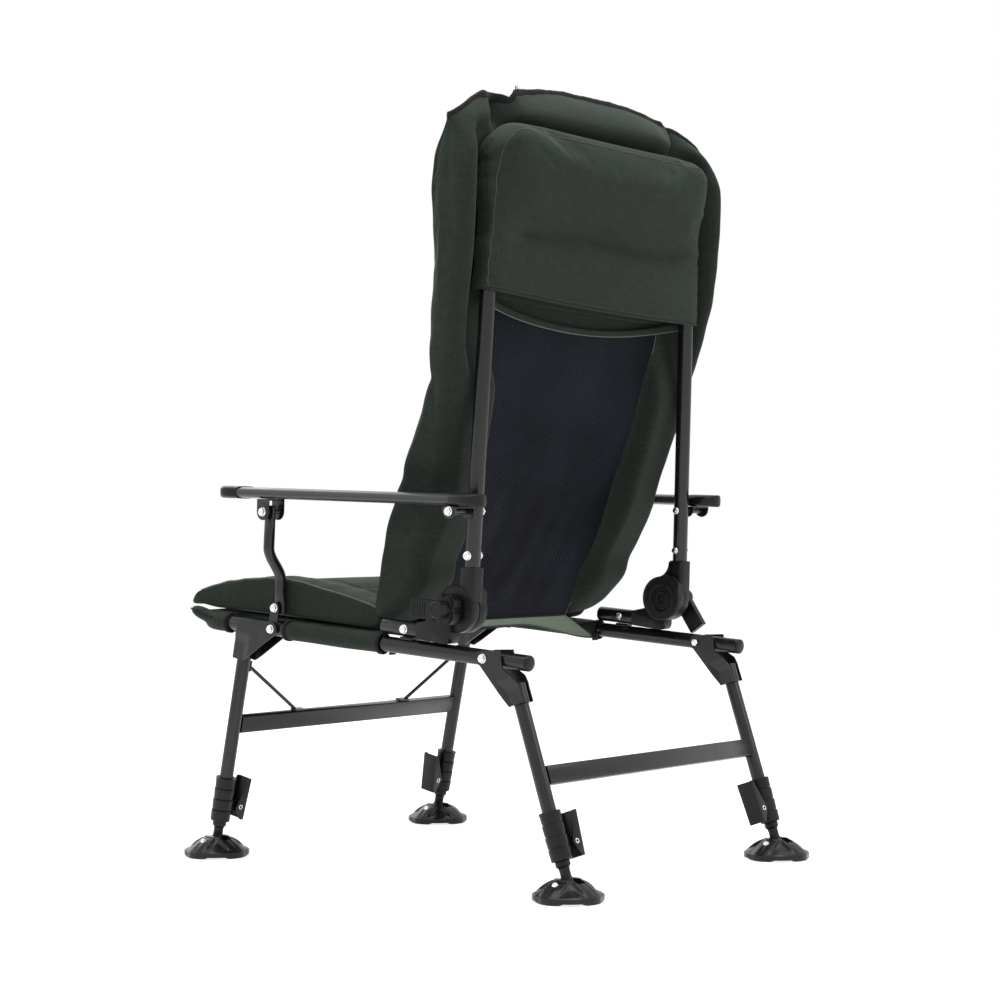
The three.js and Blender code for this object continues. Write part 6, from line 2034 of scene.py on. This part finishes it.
@dataclass
class HeadHood:
    """The padded hood over the back frame's top: a plump pillow above a crease, and an open flap below."""

    half_width: float = 251.0
    hem: float = 424.0
    top: float = 660.0
    crease: float = 513.0
    plump: float = 29.0
    power: float = 11.0
    tube_start: float = 19.53
    tube_tilt: float = 2.9
    width_rows: tuple[tuple[float, float], ...] = (
        (0, 1.0), (0.3, 0.995), (0.38, 0.985), (0.45, 0.99), (0.7, 1.0), (0.9, 0.99), (1, 0.95),
    )

    def tube_depth(self, z: Array) -> Array:
        """The depth of the back tube's axis at a rise above the hinge."""
        return self.tube_start + z * math.tan(math.radians(self.tube_tilt))

    def face(self, u: Array, v: Array, rear: bool) -> Array:
        """The hood's front or rear over places across and up.

        The front lies on the cushion. The rear lies on the tubes, sinks at the crease and at two shallow
        dents, and swells above it in a smooth step, and both close over the top in a quarter ellipse.

        Args:
            u: Places across, from -1 to 1.
            v: Places up, from 0 at the hem to 1 at the top.
            rear: The rear face, or else the front.

        Returns:
            The points.
        """
        hem = self.hem + 0.043 * self.half_width * u - 5.0 * (1 - u**2)
        corner = 24.0 * np.clip((np.abs(u) - 0.84) / 0.16, 0, 1) ** 2.4
        top = self.top - corner + 0.022 * self.half_width * u
        z = hem + (top - hem) * v
        front = BACK.rear_line(np.minimum(z, BACK.bottom + BACK.height)) + 1.2
        flat = self.tube_depth(z) + PLAN.rail_radius + 3.4
        above = np.clip((z - self.crease) / (self.top - self.crease), 0, 1)
        swelled = self.plump * smoothstep(above, -0.05, 0.8) * (1 - np.abs(u) ** 12) ** 0.5
        middle_part = 1 - 0.9 * smoothstep(np.abs(u), 0.66, 0.88)
        crease = 8.0 * hump(z, self.crease + 5.0 * np.sin(u * 4.0), 11.0) * middle_part
        crease = crease + 3.0 * hump(z, self.crease + 62.0 + 10.0 * u, 14.0) * smoothstep(u, -0.2, 0.95)
        crease = crease + 2.6 * hump(z, self.crease + 34.0 - 12.0 * u, 12.0) * smoothstep(-u, 0.1, 0.9)
        belly = 7.0 * hump(z, self.crease - 45.0, 32.0) * (1 - u**2)
        wrinkle = 1.6 * ripple(xyz(z * 1.7, 0.0, u * 130.0), 46.0, 17) * hump(z, self.crease, 42.0)
        back = flat + swelled - crease + belly + wrinkle
        close = (1 - np.clip((v - 0.86) / 0.14, 0, 1) ** 2.8) ** (1 / 2.2)
        middle = front + (back - front) * 0.42
        across = dome(u, self.power)
        y = middle + ((back if rear else front) - middle) * across * close
        x = self.half_width * through(self.width_rows, v) * u
        return xyz(x, y, z)

    def build(self) -> None:
        """Makes the hood, its seams, its hem and its stitches."""
        u = crowded(self.power, 0.96, 10, 40)
        over = 1 - 0.14 * (1 - np.sin(np.linspace(0, math.pi / 2, 14)))
        v = np.concatenate([np.linspace(0, 0.86, 56)[:-1], over])[:, None]
        shells, places = [], []
        for rear in (True, False):
            points = self.face(u, v, rear)
            shells.append(grid(points, points[..., ::2]))
            places.append(together(u, v, rear).reshape(-1, 3))
        mesh, first = mesh_of("head_pillow", shells)
        pu, pv, is_rear = np.vstack(places)[first].T
        piece = add_object("head_pillow", mesh)
        dress(piece, CLOTH)
        held = (is_rear < 0.5) | (pv < 0.42) | (pv > 0.995)
        cap = 6.0 * is_rear * smoothstep(pv, 0.4, 0.55)
        swell(piece, held, cap, pressure=3.0)
        points = coordinates(mesh)
        side = smoothstep(np.abs(pu), 0.96, 1.0)
        gathers = np.sin(points[:, 2] / 3.6 + 3.0 * ripple(points, 70.0, 4))
        points[:, 1] += 1.0 * gathers * side * is_rear
        tucks = sum(hump(points[:, 2], self.crease + at, 5.0) for at in (-4.0, 72.0, 96.0))
        points[:, 0] += np.sign(pu) * side * (1.6 * np.sin(points[:, 2] / 11.0) - 1.5 * tucks)
        set_coordinates(mesh, BACK.hinge.world(points))
        add_thickness(piece, 1.6)
        add_smoothing(piece)
        settle(piece)
        finish_piece(piece, "backrest", ("head_hood",))
        self.trim(piece)

    def edge_seam(self, piece: bpy.types.Object) -> Array:
        """The seam up one side of the rear face, over its top and down the other side, set on the cloth. Its
        pale cord is partly a painted highlight along the hood's edge.
        """
        rise = np.linspace(0.02, 0.86, 70)
        turn = np.linspace(0, math.pi / 2, 16)[1:-1]
        up, over = np.linspace(0.992, 0.972, 70), np.linspace(0.872, 0, 60)
        u = np.concatenate([up, 0.872 + 0.1 * np.cos(turn), over])
        v = np.concatenate([rise, 0.86 + 0.09 * np.sin(turn), np.full(60, 0.95)])
        u, v = np.concatenate([u, -u[-2::-1]]), np.concatenate([v, v[-2::-1]])
        start = BACK.hinge.world(self.face(u, v, True)) + np.array([0.0, 60.0, 0.0])
        return drop_on(piece, start, (0.0, -1.0, 0.0)) + np.array([0.0, 0.15, 0.0])

    def trim(self, piece: bpy.types.Object) -> None:
        """The hem's fold, its stitches and the seam round the rear face, whose pale cord is partly a painted
        highlight.
        """
        across = np.linspace(-0.985, 0.985, 150)
        hem = self.face(across, np.full(150, 0.002), True) + np.array([0.0, 0.5, 0.0])
        put("hood_hem", [cord_line(BACK.hinge.world(hem), 1.25)], CLOTH, "backrest", sharp=None)
        row = self.face(across, np.full(150, 0.024), True) + np.array([0.0, 0.25, 0.0])
        threads = stitches(BACK.hinge.world(row), 5.2, 3.6, 0.4)
        put("hood_hem_stitches", threads, THREAD_AND_PAINTED_HIGHLIGHT, "backrest", sharp=None)
        # Partly painted highlight: the pale seam cord marks where the hood's edge catches light.
        put("hood_edge_seam_and_highlight", [cord_line(self.edge_seam(piece), 0.65)], THREAD_AND_PAINTED_HIGHLIGHT, "backrest", sharp=None)


# The studio


def seen_rays(tree: bpy.types.NodeTree) -> bpy.types.NodeSocket:
    """1 for camera, glossy and transmission rays and 0 for all others: the largest of the three."""
    rays = tree.nodes.new("ShaderNodeLightPath")
    largest = rays.outputs["Is Camera Ray"]
    for kind in ("Is Glossy Ray", "Is Transmission Ray"):
        step = tree.nodes.new("ShaderNodeMath")
        step.operation = "MAXIMUM"
        tree.links.new(largest, step.inputs[0])
        tree.links.new(rays.outputs[kind], step.inputs[1])
        largest = step.outputs[0]
    return largest


@dataclass
class Studio:
    """The pale floor, soft lamps, white surround and the camera at the photograph's angle."""

    eye: tuple[float, float, float] = (2.784, 2.2824, 0.5208)
    azimuth: float = 50.77
    pitch: float = 0.13
    lens: float = 87.336

    def stand(
        self, name: str, data: bpy.types.ID, place: tuple[float, float, float], ahead: Vector
    ) -> bpy.types.Object:
        """Stands a camera or a lamp at a place, to look ahead down -Z of its own frame, with +Y up."""
        stood = add_object(name, data)
        stood.location = place
        stood.rotation_mode = "QUATERNION"
        stood.rotation_quaternion = ahead.to_track_quat("-Z", "Y")
        return stood

    def camera(self) -> None:
        """Places the camera."""
        data = bpy.data.cameras.new("camera")
        data.lens, data.sensor_width, data.clip_end = self.lens, 36.0, 60.0
        turn, tilt = math.radians(self.azimuth), math.radians(self.pitch)
        level = math.cos(tilt)
        ahead = Vector((-level * math.sin(turn), -level * math.cos(turn), math.sin(tilt)))
        bpy.context.scene.camera = self.stand("camera", data, self.eye, ahead)

    def lamp(self, name: str, place: tuple[float, float, float], size: float, power: float) -> None:
        """A soft square lamp that faces the chair's middle."""
        data = bpy.data.lights.new(name, "AREA")
        data.energy, data.size = power, size
        self.stand(name, data, place, Vector((0, 0, 0.55)) - Vector(place))

    def surround(self) -> None:
        """White for the rays that show it, and a softer grey for the light that it gives."""
        world = bpy.data.worlds.new("studio")
        bpy.context.scene.world = world
        world.use_nodes = True
        tree = world.node_tree
        tree.nodes.clear()
        output = tree.nodes.new("ShaderNodeOutputWorld")
        mix = tree.nodes.new("ShaderNodeMixShader")
        tree.links.new(seen_rays(tree), mix.inputs["Fac"])
        for place, strength in ((1, 0.3), (2, 1.0)):
            white = tree.nodes.new("ShaderNodeBackground")
            white.inputs["Color"].default_value = (1, 1, 1, 1)
            white.inputs["Strength"].default_value = strength
            tree.links.new(white.outputs[0], mix.inputs[place])
        tree.links.new(mix.outputs[0], output.inputs["Surface"])

    def floor(self) -> None:
        """The floor: pale, and brighter to the rays that show it, so that only contact shadows show."""
        rows = np.linspace(-6000, 6000, 3)
        x, y = np.meshgrid(rows, rows)
        floor = add_object("floor", mesh_of("floor", [grid(xyz(x, y, -0.3))])[0])
        shader = Shader("pale_floor")
        shader.give({"Base Color": (0.86, 0.86, 0.86, 1.0), "Roughness": 0.9, "Specular IOR Level": 0.1})
        pick, both = shader.node("ShaderNodeMixShader"), shader.node("ShaderNodeAddShader")
        shader.join(seen_rays(shader.tree), pick.inputs["Fac"])
        for place, strength in ((1, 0.0), (2, 0.78)):
            glow = shader.node("ShaderNodeEmission")
            glow.inputs["Strength"].default_value = strength
            shader.join(glow.outputs[0], pick.inputs[place])
        shader.join(shader.surface.outputs["BSDF"], both.inputs[0])
        shader.join(pick.outputs[0], both.inputs[1])
        shader.join(both.outputs[0], shader.output.inputs["Surface"])
        floor.data.materials.append(shader.material)

    def build(self) -> None:
        """Makes the whole studio."""
        bpy.context.scene.view_settings.view_transform = "Standard"
        self.camera()
        self.surround()
        self.floor()
        self.lamp("overhead", (0.2, 0.1, 3.2), 2.4, 62.0)
        self.lamp("ahead_left", (2.5, -2.6, 1.5), 1.6, 4.0)
        self.lamp("behind_left", (3.3, -0.3, 1.7), 1.4, 3.0)
        self.lamp("behind_right", (-1.3, 3.4, 2.7), 1.8, 21.0)
        self.lamp("front", (-1.2, -3.0, 1.8), 1.8, 18.0)


def main() -> None:
    """Builds the studio and every sub-assembly."""
    logging.basicConfig(level=logging.INFO, format="%(message)s")
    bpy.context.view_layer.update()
    Studio().build()
    parts = (
        SeatFrame(), ReclineHinge(), BackFrame(), Armrests(), *leg_pairs(), MudFoot(), Fasteners(),
        Sling(), SeatPad(), BackPad(), MeshPanel(), RearFlap(), HeadHood(),
    )
    for part in parts:
        part.build()


if __name__ == "__main__":
    main()
